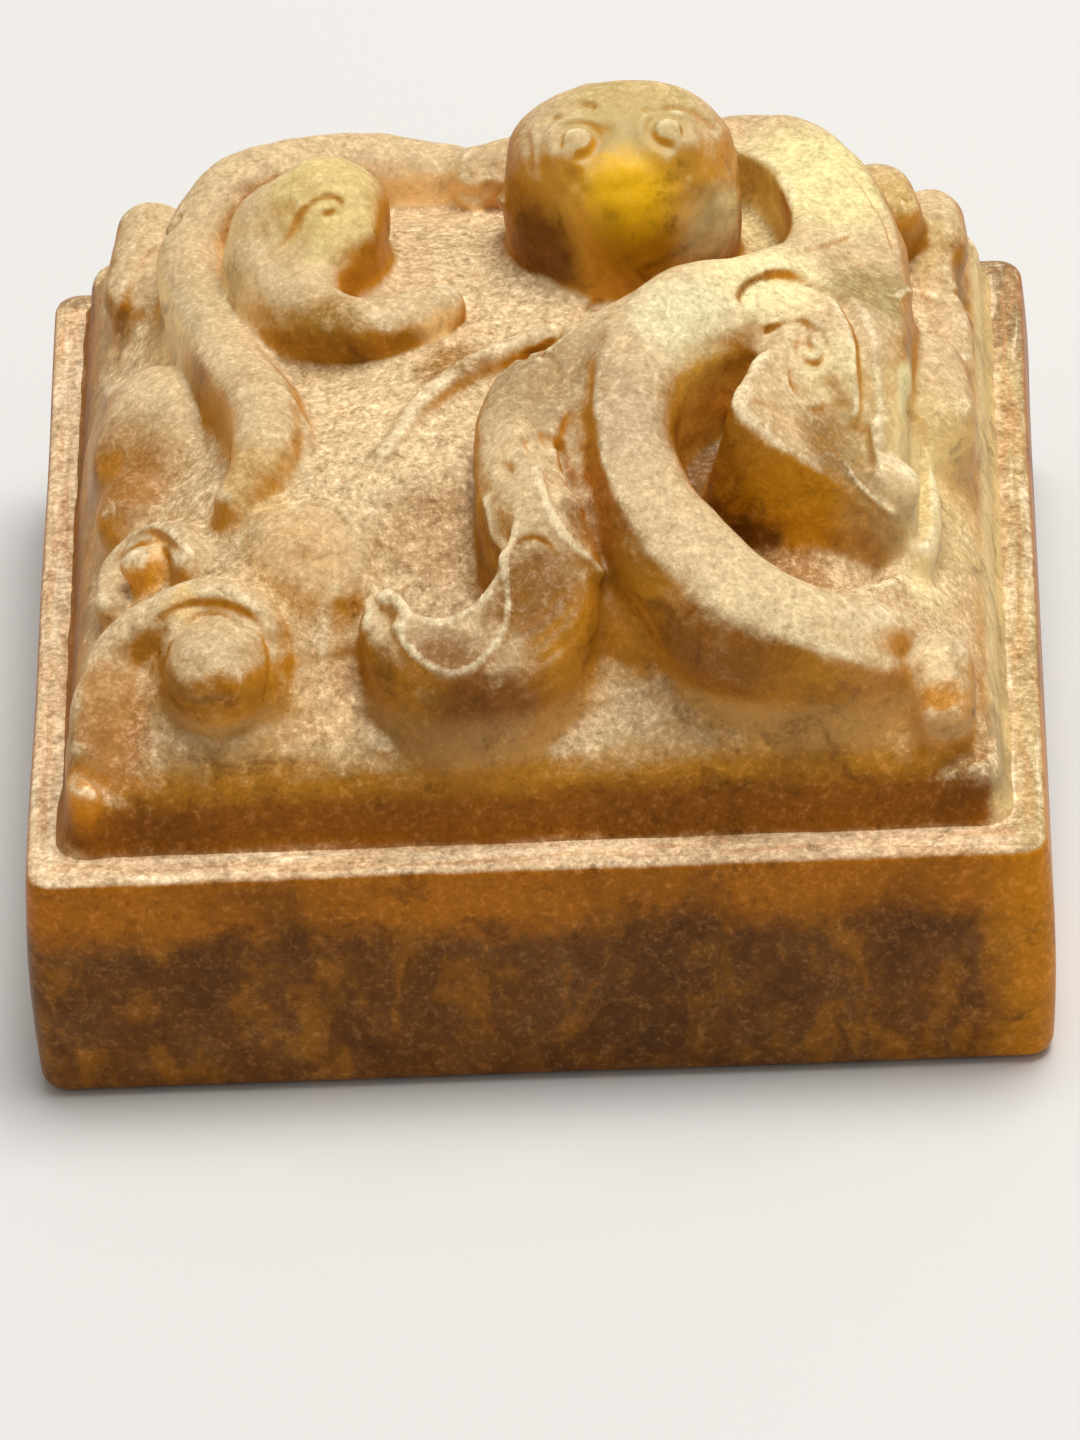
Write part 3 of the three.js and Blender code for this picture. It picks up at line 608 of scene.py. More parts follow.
# Neck: leaves the head to the right and turns forward to the body. It is a round bar with a broad
# flat band on its inner side, and a groove follows its outer edge.
neck_points = [
    [36.6, 61.5, 0.75, 1.4], [47.8, 66.8, 0.8, 1.5], [58.5, 64.4, 0.85, 1.4],
    [65.9, 56.1, 0.9, 1.2], [69.8, 44.9, 0.95, 1.1], [72.7, 30.2, 0.95, 0.95],
    [74.6, 15.6, 0.8, 0.9], [75.1, 2, 0.55, 0.8],
]
neck_band = [
    [47, 66, 1.3, 24.9, -0.1], [56, 59.4, 1.7, 25.3, -0.15], [63.6, 50.5, 2.1, 25.4, -0.2],
    [69, 36.5, 2.3, 25.3, -0.25], [71.8, 22, 2.3, 25.2, -0.25], [73.7, 9.5, 2.1, 25.1, -0.25],
    [74.8, -1, 1.8, 25, -0.2], [75.5, -11.4, 1.4, 24.9, -0.2], [75.6, -22.8, 1.1, 24.6, -0.3],
    [76.4, -34.7, 0.9, 23.8, -0.4], [77.6, -44.5, 0.7, 22.6, -0.4],
]
relief.form(
    "dragon_neck", "olive_stone", [(body_radius, neck_points)], bands=[(neck_band, (1.0, 0.6))],
    soften=1.0, foot=1.2,
)
relief.cut([
    ([[60, 60.7, 25.4], [65.4, 55.3, 25.3], [69.7, 51, 25.2], [73.9, 44.3, 25], [76.6, 37.6, 24.8],
      [78.8, 31.6, 24.5], [80.6, 22.3, 24.4]], 0.16, 0.25),
])

# Mane: a low lobe behind the head on the left, where the head grows out of the back. It was rounded
# over and runs out into the ground.
limb_radius = 1.6
mane_points = [[-9.3, 66.3, 0.85, 1.4], [2.9, 65.4, 1, 1.4], [19.5, 64.9, 0.9, 1.2]]
relief.form("dragon_mane", "rust_stone", [(limb_radius, mane_points)], foot=1.2)

# Front limb: an S that leaves the body at its left, runs down the front and hooks to the left. Its
# hood and web are flat ledges, its hook has a raised rim, and the ground is sunk round it and
# inside the C.
front_limb_radius = 2.2
front_limb_points = [
    [6.8, -19.5, 0.4, 1.3], [0, -27.3, 0.55, 1.1], [-2.4, -41, 0.72, 0.8], [-0.5, -56.1, 0.9, 0.65],
    [4.4, -68.3, 1, 0.55], [4.4, -79, 0.95, 0.45], [-1.5, -88, 0.8, 0.4], [-11.7, -92, 0.7, 0.4],
    [-22.5, -89.5, 0.6, 0.45], [-29, -83.5, 0.48, 0.6], [-31, -77.5, 0.38, 0.95],
]
hood_outline = [
    [19.8, -12.4, 3.3], [12.9, -15.8, 3.1], [6.4, -22.3, 3], [0.4, -28.6, 2.8], [-4.4, -37.4, 2.6],
    [-7.6, -47.6, 2.4], [-8.8, -56.2, 2.2], [-8.3, -63.4, 2.1], [-6.2, -72.1, 2.1],
    [-1.1, -77.8, 2.1], [7.4, -79.7, 2.1], [14, -72.7, 2.1], [10.4, -65.4, 2.2], [8.1, -57.3, 2.3],
    [7.4, -48.3, 2.4], [11, -38.8, 2.6], [16.2, -31.9, 2.8], [22, -23.7, 3.2],
]
web_outline = [
    [20, -14, 2.6], [13, -20, 2.4], [8, -30, 2.2], [7, -45, 2], [8, -58, 1.8], [12, -70, 1.5],
    [18, -79, 1.1], [27, -81, 0.8], [27, -70, 1], [23, -60, 1.3], [20, -48, 1.6], [20, -36, 1.9],
    [22, -24, 2.2],
]
hook_band = [
    [8, -64, 1.5, 24.7, -0.3], [6, -74, 1.8, 23.5, -0.45], [1, -84, 1.8, 22.1, -0.55],
    [-8, -90, 1.7, 21.1, -0.6], [-18, -91, 1.5, 20.8, -0.55], [-26.5, -86.5, 1.2, 21, -0.4],
    [-30.5, -79.5, 0.9, 21.6, -0.2],
]
relief.form(
    "front_limb", "rust_stone", [(front_limb_radius, front_limb_points)],
    shelves=[(hood_outline, 0.35, None, 0.1), (web_outline, 0.8, None, 0.1)],
    bands=[(hook_band, (1.2, 0.25))], soften=0.5,
)
front_hollow = [
    [-28.5, -54], [-28, -62], [-32.5, -70], [-39.5, -78.5], [-41.4, -85.9], [-37.4, -91.5],
    [-28, -95], [-18.5, -96.8], [-2.4, -95.6], [12.7, -91.9], [25.7, -87.6], [24, -76.5],
    [15.9, -65.1], [7.8, -38.6], [4.7, -23.1], [-5, -22.6], [-11.6, -43.2], [-18.1, -50.6],
    [-26.6, -50.2],
]
middle_hollow = [
    [33.7, 0.3], [31, -12.9], [30.1, -29.1], [30.7, -43.9], [35.2, -56.3], [43.5, -64.1],
    [56.1, -69.2], [68.9, -68], [77.5, -57.3], [69.5, -38.1], [59.1, -27.3], [50.7, -13.3],
    [51, 5.1], [42.4, 6.6],
]
relief.sink(front_hollow, depth=0.7, edge=2.0)
relief.sink(middle_hollow, depth=1.5, edge=1.5)
relief.cut([
    ([[16.6, 11.4, 23.9], [11.8, 6.1, 23.7], [7.8, -10.4, 25.1], [3.1, -9.8, 24.4],
      [0.7, -23.9, 26]], 0.16, 0.22),
    ([[-8.2, -62.6, 24.4], [-7.6, -66.2, 23.9], [-6.5, -69.7, 23.3], [-4.9, -77.8, 23.5],
      [-3.6, -81.7, 22.7], [-3.5, -85.1, 22.2], [-4.5, -88.9, 21.5], [-7.2, -92.4, 21],
      [-11.1, -95.2, 20.5], [-15.8, -96.2, 20.2], [-21.3, -93.9, 20.5], [-25.4, -89.5, 20.9],
      [-28, -84.5, 21.3]], 0.26, -0.21),
    ([[1.9, -22, 26], [5.3, -25.4, 26.5], [7.2, -27.7, 26.4], [7.8, -31, 26.2],
      [6.3, -34.1, 26]], 0.16, 0.28),
    ([[3.6, -59.3, 25.5], [4.2, -63.8, 25.3], [5.6, -68.3, 24.9], [8, -72.4, 24.3],
      [11.5, -74.9, 23.6], [14.9, -75.4, 22.8], [16.5, -76, 22.2]], 0.3, -0.24),
    ([[6.1, -47.7, 25.2], [7.8, -48.7, 24.5], [9.3, -52.8, 24.1], [10.7, -59.5, 24.1],
      [13, -65.1, 23.7]], 0.2, 0.3),
    ([[-2.2, -77, 23.3], [-1.1, -74.3, 23.6], [1.9, -73.7, 23.8], [4.9, -74.8, 23.7],
      [6.3, -76.8, 23.4]], 0.16, 0.2),
    ([[1.4, -50.7, 25.5], [2.1, -52.2, 25.4]], 0.3, 0.35),
    ([[-3.1, -57.2, 25.2], [-2.5, -58.4, 25.1]], 0.3, 0.35),
    ([[4.6, -47.7, 25.3], [5.2, -49.2, 25.2]], 0.25, 0.25),
    ([[2.1, -90.9, 20.8], [6.5, -88.2, 21.2], [10, -84.2, 21.7]], 0.16, 0.06),
    ([[3.7, -92.2, 20.2], [8.4, -88.7, 20.6], [12.4, -84, 21]], 0.16, 0.06),
    ([[0.1, -89.1, 21.3], [4.2, -86.6, 21.7], [7.6, -83, 22.3]], 0.16, 0.06),
    ([[-30.2, -80, 21], [-29.4, -81.9, 20.9]], 0.5, 0.55),
    ([[-34, -77.8, 21.3], [-32.1, -70, 20.7], [-28.7, -77.2, 21.9], [-26.2, -80.1, 21.8],
      [-25.3, -83.5, 21.5], [-26.6, -86.6, 21.4]], 0.26, -0.22),
    ([[-40.5, -70.8, 21.2], [-42.8, -74.1, 20.4], [-43.8, -78.3, 19.6], [-43.2, -83, 18.6],
      [-41.3, -87.6, 17.5], [-37.2, -91, 16.7], [-31.4, -94.3, 16.1]], 0.4, -0.14),
])

# Wisp: one thin strand of the mane that lies on the ground to the left of the body. It tapers and
# sinks towards its free end.
wisp_radius = 0.65
wisp_points = [
    [24, -11, 2.2, 1], [15, -11, 1.8, 0.7], [6, -7, 1.35, 0.6], [-4.9, -9.8, 1.05, 0.5],
    [-14, -15.2, 0.85, 0.4], [-21.6, -23.5, 0.7, 0.35], [-26.4, -32, 0.55, 0.3],
    [-29.8, -38, 0.4, 0.2],
]
relief.form("mane_wisp", "sand_stone", [(wisp_radius, wisp_points)], foot=0.7)

# Left limb: leaves the back of the head, turns round the paw at the back left and runs forward. It
# is a round bar with its top rubbed nearly flat.
left_limb_points = [
    [-16.6, 72.7, 0.95, 1.15], [-31.2, 72.7, 1.05, 1.25], [-49.8, 70.2, 1.05, 1.2],
    [-63.9, 64.4, 1, 1.1], [-72.7, 53.2, 0.9, 1.05], [-73.7, 40.5, 0.9, 0.75],
    [-69.8, 22, 0.9, 0.55], [-62.9, -1.5, 0.95, 0.5], [-56.1, -22.4, 1, 0.5],
    [-55.6, -37.1, 0.95, 0.5], [-61.5, -45.9, 0.65, 0.5],
]
left_limb_band = [
    [-20, 74, 1, 23.2, 0.1], [-33, 74.5, 1.3, 23.9, 0.1], [-50, 71.5, 1.5, 24.2, 0.1],
    [-64, 65, 1.4, 24.1, 0.1], [-72.5, 53.5, 1.3, 23.2, 0.05], [-73.5, 40.5, 1.25, 22.6, 0],
    [-69.8, 22, 1.25, 22.85, -0.05], [-62.9, -1.5, 1.35, 23.7, -0.05], [-56.5, -21, 1.35, 24.4, 0],
    [-56.2, -34, 1, 24.3, 0],
]
relief.form(
    "left_limb", "peach_stone", [(limb_radius, left_limb_points)],
    bands=[(left_limb_band, (0.9, 0.9))], soften=0.6, foot=1.3,
)

# Left paw: a round curled paw inside the left limb, left high, with a crescent toe that lies on the
# ground in front of it. A spiral is carved in its top.
paw_radius = 2.8
paw_points = [[-42.9, 37.1, 1.02, 0.7], [-52.2, 38, 0.88, 0.65], [-56.6, 33.2, 0.7, 0.65]]
palm_outline = [
    [-61.5, 17, 2.4], [-59.5, 29, 3], [-53, 38, 3.6], [-43, 40, 4.2], [-34, 33, 4], [-33, 23, 3.4],
    [-40, 16, 2.8], [-42.5, 10.8, 2.4], [-40, 4, 2.2], [-47, 1.5, 2], [-56, 6, 2.1],
]
relief.form(
    "left_paw", "honey_stone", [(paw_radius, paw_points)],
    shelves=[(palm_outline, 1.2, None, 0.15)], soften=1.2, foot=1.0,
)
toe_points = [
    [-55.6, 26.3, 1, 0.65], [-48.3, 11.2, 0.95, 0.65], [-37.6, 1.5, 0.9, 0.7],
    [-26.3, 2.4, 0.8, 0.6], [-18, 7.3, 0.7, 0.55],
]
relief.form("left_paw_toe", "honey_stone", [(limb_radius, toe_points)], foot=0.8)
relief.cut([
    ([[-55.9, 21.9, 25.2], [-52.5, 23.7, 25.6], [-49.8, 25.6, 26], [-47.9, 27.3, 26.6],
      [-45.6, 28.7, 27.1], [-42.3, 29.5, 27.4], [-39.5, 28.8, 27.2], [-39.8, 26.9, 27],
      [-42, 26.4, 26.9]], 0.2, 0.22),
    ([[-46.7, 30.3, 27.4], [-44, 31.6, 27.7], [-40.9, 32.6, 27.7], [-37.9, 31.9, 27.6],
      [-36.4, 29.8, 27.3]], 0.18, 0.14),
    ([[-9.2, 25.6, 23.6], [-10.7, 17.3, 23.7], [-12.7, 7.1, 23.9], [-15.5, 1.7, 23.9]], 0.2, 0.2),
    ([[-20.5, 27, 23.8], [-17.2, 29.4, 23.8], [-13.5, 30.6, 23.8], [-10.5, 29, 23.8]], 0.2, -0.19),
    ([[-14, 60.8, 23.6], [-11.1, 59.2, 23.5], [-8, 58.9, 23.9], [-4.9, 57.9, 23.8]], 0.3, -0.22),
    ([[-14, 59.8, 22.7], [-10.9, 58.2, 22.7], [-7.7, 58.1, 23.1], [-3.8, 29.4, 26.8]], 0.3, -0.21),
    ([[-11.7, 52.7, 22.7], [-8.5, 55.1, 22.6], [-5.5, 50.4, 22.9]], 0.3, -0.19),
    ([[-76.1, 54.3, 23], [-78.8, 52.1, 22.5], [-82.9, 64.9, 19.7], [-85.7, 59.5, 19.6],
      [-87.7, 54.4, 19.2], [-89.2, 51.7, 18.4], [-90.6, 51.8, 17.4]], 0.22, 0.22),
    ([[-50.1, -22.2, 24.5], [-47.9, -23.6, 24], [-46.2, -27.3, 23.7], [-45.5, -35.3, 23.5],
      [-46.5, -43.1, 23.3], [-49.3, -47.4, 22.9], [-53.4, -49.1, 22.8]], 0.3, -0.08),
])

# Disc, corner ball and corner curl: a low disc in front of the left limb, and a ball that lies in
# its bed inside the curl at the front left corner. A bank of stone was left outside the curl.
disc_outline = [
    [-57.8, -49.9, 0.4], [-50.1, -50, 0.48], [-41.5, -51.3, 0.48], [-35.6, -55.1, 0.44],
    [-33.5, -59.7, 0.4], [-34, -65.2, 0.4], [-38.7, -72.3, 0.36], [-46.1, -72.1, 0.4],
    [-53.5, -68, 0.4], [-57.1, -61.2, 0.36],
]
relief.form("spiral_disc", "sand_stone", shelves=[(disc_outline, 0.6, None, 0)], soften=0.4)
bead_radius = 2.0
bed_outline = [
    [-80, -84, 0.5], [-77, -74, 1.2], [-66, -71, 1.4], [-56, -75, 1.3], [-52, -84, 0.8],
    [-54, -94, 0.2], [-62, -98, 0], [-74, -96, 0.1],
]


def ball(point, radius):
    """A round knob at one layout point."""
    centres, sizes = placed([point], radius)
    return centres[0], np.full(3, sizes[0]), 2


relief.form(
    "corner_bead", "honey_stone", knobs=[ball([-66, -84.6, 1.2, 0.3], bead_radius)],
    shelves=[(bed_outline, 0.8, None, 0)], soften=0.5,
)
curl_radius = 1.2
corner_curl_points = [
    [-95.1, -88.8, 0.9, 0.2], [-91.7, -80, 1.05, 0.3], [-87.8, -71.2, 1.05, 0.4],
    [-80, -69.5, 0.9, 0.45], [-68.3, -69.3, 0.7, 0.5], [-58, -73.5, 0.6, 0.4],
    [-54.5, -80, 0.5, 0.2], [-55, -87, 0.4, 0.05],
]
bank_outline = [
    [-106, -106, 0.3], [-104, -83.2, 0.5], [-98, -75.8, 0.8], [-92, -71.1, 1], [-87.4, -70.8, 1.1],
    [-85.5, -76, 1], [-88, -85.7, 0.8], [-92, -94.1, 0.5], [-95, -106, 0.2],
]
relief.form(
    "corner_curl", "rust_stone", [(curl_radius, corner_curl_points)],
    shelves=[(bank_outline, 0.5, None, 0)], soften=0.8,
)
relief.cut([
    ([[-52.3, -52, 22.6], [-48.9, -51.2, 22.7], [-43.7, -52.5, 22.8], [-40.3, -54.9, 22.7],
      [-38.6, -57.8, 22.5]], 0.16, 0.22),
    ([[-49.2, -60.6, 22.5], [-47.1, -61.4, 22.4]], 0.5, -0.17),
])
relief.cut([
    ([[-78.3, -73.1, 20.2], [-73.9, -72.8, 20.7], [-68.4, -73.9, 21], [-62.7, -75.4, 21],
      [-58.2, -78.2, 20.7], [-55.6, -81.6, 20.1], [-55, -86, 19.6], [-56, -90, 18.8]], 0.22, 0.12),
    ([[-73.2, -78.8, 20.4], [-69.6, -75.4, 20.6], [-64.9, -76.3, 20.7],
      [-60.9, -81.2, 20.8]], 0.16, 0.14),
    ([[-70.1, -85.8, 21], [-67.6, -83.1, 21.1], [-64.2, -84.1, 21.1]], 0.16, 0.16),
])

# Small forms beside the haunch: a ball at the tip of the leaf and a thin claw to its right. Both
# were left as the ground was cut away between the haunch and the right flank.
small_bead_radius = 0.95
relief.form("haunch_bead", "peach_stone", knobs=[ball([80, -45, 1, 2.6], small_bead_radius)])
claw_points = [
    [83.9, -51.7, 1.15, 0.7], [85.9, -36.1, 0.95, 0.6], [84.9, -20.5, 0.85, 0.5],
    [80, -7.8, 0.7, 0.5],
]
relief.form("haunch_claw", "olive_stone", [(wisp_radius, claw_points)])

# Cloud lobes on the flanks: soft round swellings that run down to the tier's walls, with a ring
# curl on the left and two scrolls at the back. They were rounded over and left nearly plain.
lobe_radius = 1.8
edge_curl_points = [[89.3, 53.7, 0.75, 0.8], [92.2, 42.9, 0.8, 0.6], [93.2, 31.2, 0.7, 0.5]]
right_corner_points = [[88.8, 76.1, 0.9, 0.55], [89.3, 65.4, 0.9, 0.6]]
for name, slot, foot, radius, points in [
    ("right_side_lobe", "honey_stone", 1.8, lobe_radius,
     [[85.9, 12.7, 1.15, 0.4], [88, -4, 1.2, 0.35]]),
    ("right_edge_curl", "sand_stone", 1.2, curl_radius, edge_curl_points),
    ("neck_lobe", "honey_stone", 1.2, lobe_radius, [[77.1, 66.3, 1, 0.7], [78.5, 60.5, 1, 0.7]]),
    ("right_corner_lobe", "rust_stone", 1.8, lobe_radius, right_corner_points),
    ("right_drop", "honey_stone", 0.8, lobe_radius,
     [[87.2, -83.5, 0.85, 0.4], [88, -91, 0.8, 0.35]]),
]:
    relief.form(name, slot, [(radius, points)], foot=foot)
left_lobe_outline = [
    [-94, 33, 1], [-84, 20, 1.7], [-75.5, 9, 1.9], [-73, -2, 1.8], [-77, -13, 1.6],
    [-84.4, -17.8, 1.4], [-94.1, -8, 1.2], [-97.6, 14, 1],
]
relief.form(
    "left_side_lobe", "peach_stone",
    [(lobe_radius, [[-83, 10, 0.95, 0.15], [-87, -1, 0.95, 0.15]])],
    shelves=[(left_lobe_outline, 1.3, None, 0)], soften=1.5, foot=1.8,
)
left_low_points = [[-86.8, -19.5, 0.75, 0.4], [-87.3, -24.4, 0.75, 0.4]]
relief.form("left_side_lobe_low", "honey_stone", [(lobe_radius, left_low_points)], foot=1.8)
ring_curl_points = [
    [-90.2, -49.8, 0.65, 0.4], [-88.8, -40, 0.65, 0.45], [-81, -39, 0.65, 0.5],
    [-74.1, -47.8, 0.65, 0.5], [-72.7, -56.6, 0.6, 0.5],
]
bean_halves = np.array([1.3, 0.9, 0.9])
bean_centre = placed([[-81.5, -48.5, 1, 0.5]], 1.0)[0][0]
relief.form(
    "left_ring_curl", "sand_stone", [(curl_radius, ring_curl_points)],
    knobs=[(bean_centre, bean_halves, 2)], soften=0.3,
)
left_corner_points = [[-84.4, 78, 0.9, 0.5], [-87.3, 58.5, 0.8, 0.4]]
relief.form("left_corner_lobe", "peach_stone", [(lobe_radius, left_corner_points)], foot=1.8)
scroll_points = [
    [-68.3, 85.9, 0.7, 0.5], [-53.7, 89.3, 1, 0.5], [-37.1, 89.8, 1.05, 0.5],
    [-22.4, 85.9, 0.85, 0.6],
]
relief.form("back_scroll", "sand_stone", [(curl_radius, scroll_points)], foot=1.2)
tail_points = [
    [2, 79, 0.75, 0.7], [12.7, 87.8, 0.85, 0.5], [30.2, 90.2, 0.85, 0.45], [47.8, 87.3, 0.7, 0.5],
    [59.5, 81, 0.5, 0.6],
]
relief.form("back_tail", "sand_stone", [(limb_radius, tail_points)], foot=1.2)
relief.cut([
    ([[90.6, 50, 18.5], [94.5, 49.3, 17.9], [97.1, 63.4, 14.9], [98.2, 59.3, 14.3]], 0.18, 0.22),
    ([[81.8, 4.2, 24.7], [85.3, 47.8, 18.6], [89.4, 45.7, 18.5]], 0.2, -0.15),
    ([[75.7, 66.6, 22.5], [79.1, 63.9, 22.3], [82.1, 60.4, 22.2], [84.2, 58.3, 21.8]], 0.18, 0.2),
    ([[-88.7, -40.6, 18.6], [-86.4, -38.7, 19.2], [-82.2, -40.4, 19.9], [-77.5, -47.4, 20.6],
      [-74.1, -56.4, 21.2]], 0.18, 0.2),
    ([[86.8, -93.5, 17.8], [88.5, -93.2, 17.8], [88.9, -94.5, 17.6],
      [87.2, -94.8, 17.5]], 0.25, 0.1),
])

# Cutting free: the stone is one, so each form ends in the crease where it meets its neighbours. Its
# skin is exact up to the crease and dips a hair under the neighbour's beyond it: no joint shows.
forms_blend = 1.1
overlap = 0.5
dip = 0.3
near_skin = 0.6
deepest = 1.2
crest_width = 0.45
crest_full = 0.1
hollow_width = 1.5
hollow_full = 0.55


def thickened(values, width):
    """Samples averaged over a cube of the given half width, at least one cell wide."""
    cells = max(1, round(width / fine_grain))
    for axis in range(3):
        pad = [(0, 0)] * 3
        pad[axis] = (cells + 1, cells)
        run = np.cumsum(np.pad(values, pad, "edge"), axis=axis, dtype=np.float64)
        ahead, behind = [slice(None)] * 3, [slice(None)] * 3
        ahead[axis], behind[axis] = slice(2 * cells + 1, None), slice(None, -2 * cells - 1)
        values = ((run[tuple(ahead)] - run[tuple(behind)]) / (2 * cells + 1)).astype(np.float32)
    return values


ground = relief.ground()
nearest = empty(relief.everywhere, far_away)
second = nearest.copy()
standing = empty(relief.everywhere, 0)
owner = np.full(nearest.shape, -1, np.int8)
for n, (part, values, foot, _) in enumerate(relief.forms.values()):
    closer = values < nearest[part]
    second[part] = np.where(closer, nearest[part], np.minimum(second[part], values))
    nearest[part] = np.where(closer, values, nearest[part])
    owner[part] = np.where(closer, n, owner[part])
    rise = ground[part] - soft_join(ground[part], values, foot)
    meet = np.maximum(forms_blend - np.abs(rise - standing[part]), 0) / forms_blend
    both = np.clip(np.minimum(rise, standing[part]) / forms_blend, 0, 1)
    fill = both * meet * meet * forms_blend / 4
    standing[part] = np.maximum(rise, standing[part]) + fill
total = relief.finished(ground - standing)
crest_field = thickened(np.clip(total, -deepest, deepest), crest_width)
hollow_field = thickened(np.clip(total, -deepest, deepest), hollow_width)


def stone_mesh(name, wall, low, grain, surface):
    """A closed mesh of one piece. surface holds the whole stone's samples, which its outer skin
    follows, and wall the distance beyond its border with the neighbours."""
    low = np.asarray(low, float)
    skirt = surface + dip * np.maximum(wall, 0)
    vertices, quads = skin(np.maximum(skirt, wall - overlap), low, grain)
    outer = np.abs(sampled(skirt, low, grain, vertices)) < near_skin * grain
    outer &= sampled(wall, low, grain, vertices) < overlap - near_skin * grain
    vertices[outer] = settled(vertices[outer], skirt, low, grain)
    shown = slope(surface, low, grain, vertices)
    normals = np.where(outer[:, None], shown, slope(wall, low, grain, vertices))
    normals /= np.linalg.norm(normals, axis=1, keepdims=True) + 1e-9
    mesh = bpy.data.meshes.new(name)
    mesh.vertices.add(len(vertices))
    mesh.vertices.foreach_set("co", (vertices * MM).astype(np.float32).ravel())
    mesh.loops.add(quads.size)
    mesh.loops.foreach_set("vertex_index", quads.astype(np.int32).ravel())
    mesh.polygons.add(len(quads))
    mesh.polygons.foreach_set("loop_start", np.arange(0, quads.size, 4, dtype=np.int32))
    mesh.update(calc_edges=True)
    mesh.validate()
    mesh.polygons.foreach_set("use_smooth", np.ones(len(mesh.polygons), bool))
    mesh.normals_split_custom_set_from_vertices(normals.tolist())
    piece = bpy.data.objects.new(name, mesh)
    bpy.context.collection.objects.link(piece)
    return piece, vertices


def note(piece, name, values):
    """Keeps one number for each vertex of a piece, for its finish to read."""
    layer = piece.data.attributes.new(name, "FLOAT", "POINT")
    layer.data.foreach_set("value", np.clip(values, -1, 1).astype(np.float32))


def set_in_place(piece, name, finish):
    """Gives a piece its finish, and sets it in the place of its node."""
    piece.data.materials.append(finish)
    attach(piece, "root")
    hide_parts(name)


def relief_piece(name, part, wall, finish):
    """Makes one carved piece from its samples."""
    low = relief_low + fine_grain * np.array([s.start for s in part])
    piece, vertices = stone_mesh(name + "_stone", wall, low, fine_grain, total[part])
    note(piece, "crest", sampled(crest_field, relief_low, fine_grain, vertices) / crest_full)
    note(piece, "hollow", -sampled(hollow_field, relief_low, fine_grain, vertices) / hollow_full)
    set_in_place(piece, name, finish)


# Carved top: yellow-brown stone, pale on what looks up, partly a skin pale with wear and
# partly painted light from above; brown on what looks out, partly painted shade; and painted
# shade darkens the hollows. Honey, olive and rust tints lie at given places, among them painted
# light on some parts and painted shade on others.
relief_colours = (196, 130, 32), (92, 52, 8)
relief_pale = (212, 182, 136)
ground_pale = (214, 184, 138)
fleck_pale = (206, 156, 100)
fleck_dark = (52, 26, 2)
stain_brown = (186, 142, 92)
worn_and_highlight_pale = (252, 234, 190)
sugar_glint_pale = (255, 244, 214)
patch_wander = 2.4
patch_core = 0.35
seam_drop = 0.7
top_tints = {
    "neck": ((13, 9.5, 25), 6, (236, 220, 156)),
    "neck shade": ((15.6, 1, 25), 3.4, (164, 140, 86)),
    "saddle": ((10.6, 0.4, 27), 4.2, (244, 226, 168)),
    "arm": ((7.2, -3.6, 27.6), 3.4, (228, 214, 166)),
    "arm side": ((4.8, -9.5, 26.6), 3.6, (196, 166, 126)),
    "arm end": ((10.5, -17.5, 22), 5.5, (220, 194, 146)),
    "leaf": ((13.8, -8.2, 23), 3.6, (134, 96, 48)),
    "haunch": ((13.8, -4.8, 25.2), 2.3, (230, 210, 156)),
    "C floor": ((7.9, -7.4, 21.8), 3, (142, 104, 62)),
    "pit rim": ((11.6, -12.6, 20.6), 3, (170, 120, 64)),
    "hood": ((1, -6, 26.6), 4.4, (170, 140, 98)),
    "web": ((0.6, -16.6, 22.5), 3.2, (136, 84, 20)),
    "hook": ((-3.6, -18.9, 19.8), 3.2, (132, 82, 24)),
    "paw": ((-8.2, 7.2, 27.2), 4.6, (226, 198, 126)),
    "toe": ((-8.8, 0, 25), 2.6, (156, 112, 36)),
    "wisp": ((-3, -1.6, 24.2), 2.4, (152, 106, 44)),
    "left limb": ((-14.9, 5.5, 23), 4, (196, 170, 126)),
    "limb end": ((-12, -9, 23.5), 2.6, (214, 174, 110)),
    "left lobe": ((-18.8, -2.8, 19), 5, (156, 98, 20)),
    "corner curl": ((-18.6, -17, 17.5), 3.2, (186, 132, 70)),
    "disc": ((-9.8, -12.8, 21.9), 3.6, (214, 172, 116)),
    "crown": ((5.1, 7.5, 31.3), 5, (198, 170, 110)),
    "right bank": ((17.6, -5, 20), 7, (214, 188, 128)),
    "back right lobes": ((17.5, 11.5, 22), 4.6, (202, 168, 98)),
    "ring curl": ((-16.6, -10.2, 19.3), 1.3, (214, 146, 46)),
    "curl foot": ((-18, -18.6, 15.8), 2.6, (166, 104, 40)),
    "right drop": ((17.8, -19, 17.3), 1.9, (206, 132, 14)),
    "arm tip": ((15.3, -17.5, 20.4), 2.6, (234, 210, 164)),
    "small bead": ((16.2, -8.6, 22), 1.5, (240, 214, 170)),
    "corner ball": ((-13.6, -19.5, 19.3), 1.7, (176, 112, 14)),
    "arm foot": ((2.9, -13, 23.8), 1.9, (140, 96, 46)),
    "front ground": ((-9, -17.6, 17.6), 2.8, (236, 196, 142)),
    "arm wall": ((8, -19.4, 19.2), 3.4, (142, 90, 36)),
    "arm wall left": ((3.6, -16.6, 20.6), 2.4, (172, 118, 54)),
    "arm wall right": ((13, -19.8, 18.4), 2.2, (158, 108, 50)),
    # Painted highlight on the top of the right drop.
    "drop top": ((17.6, -17.6, 18.6), 1.2, (248, 216, 162)),
    "ring rim": ((-16.1, -8.9, 20.4), 1, (248, 206, 142)),
    "curl rim": ((-15, -14.4, 21), 1.3, (248, 208, 142)),
    "right bank low": ((17.5, -11, 18.2), 2.4, (240, 214, 160)),
    "middle ground": ((-3.7, -11, 21.4), 3.6, (190, 152, 104)),
    "front right corner": ((19.4, -20.2, 15.4), 2.6, (170, 112, 44)),
}
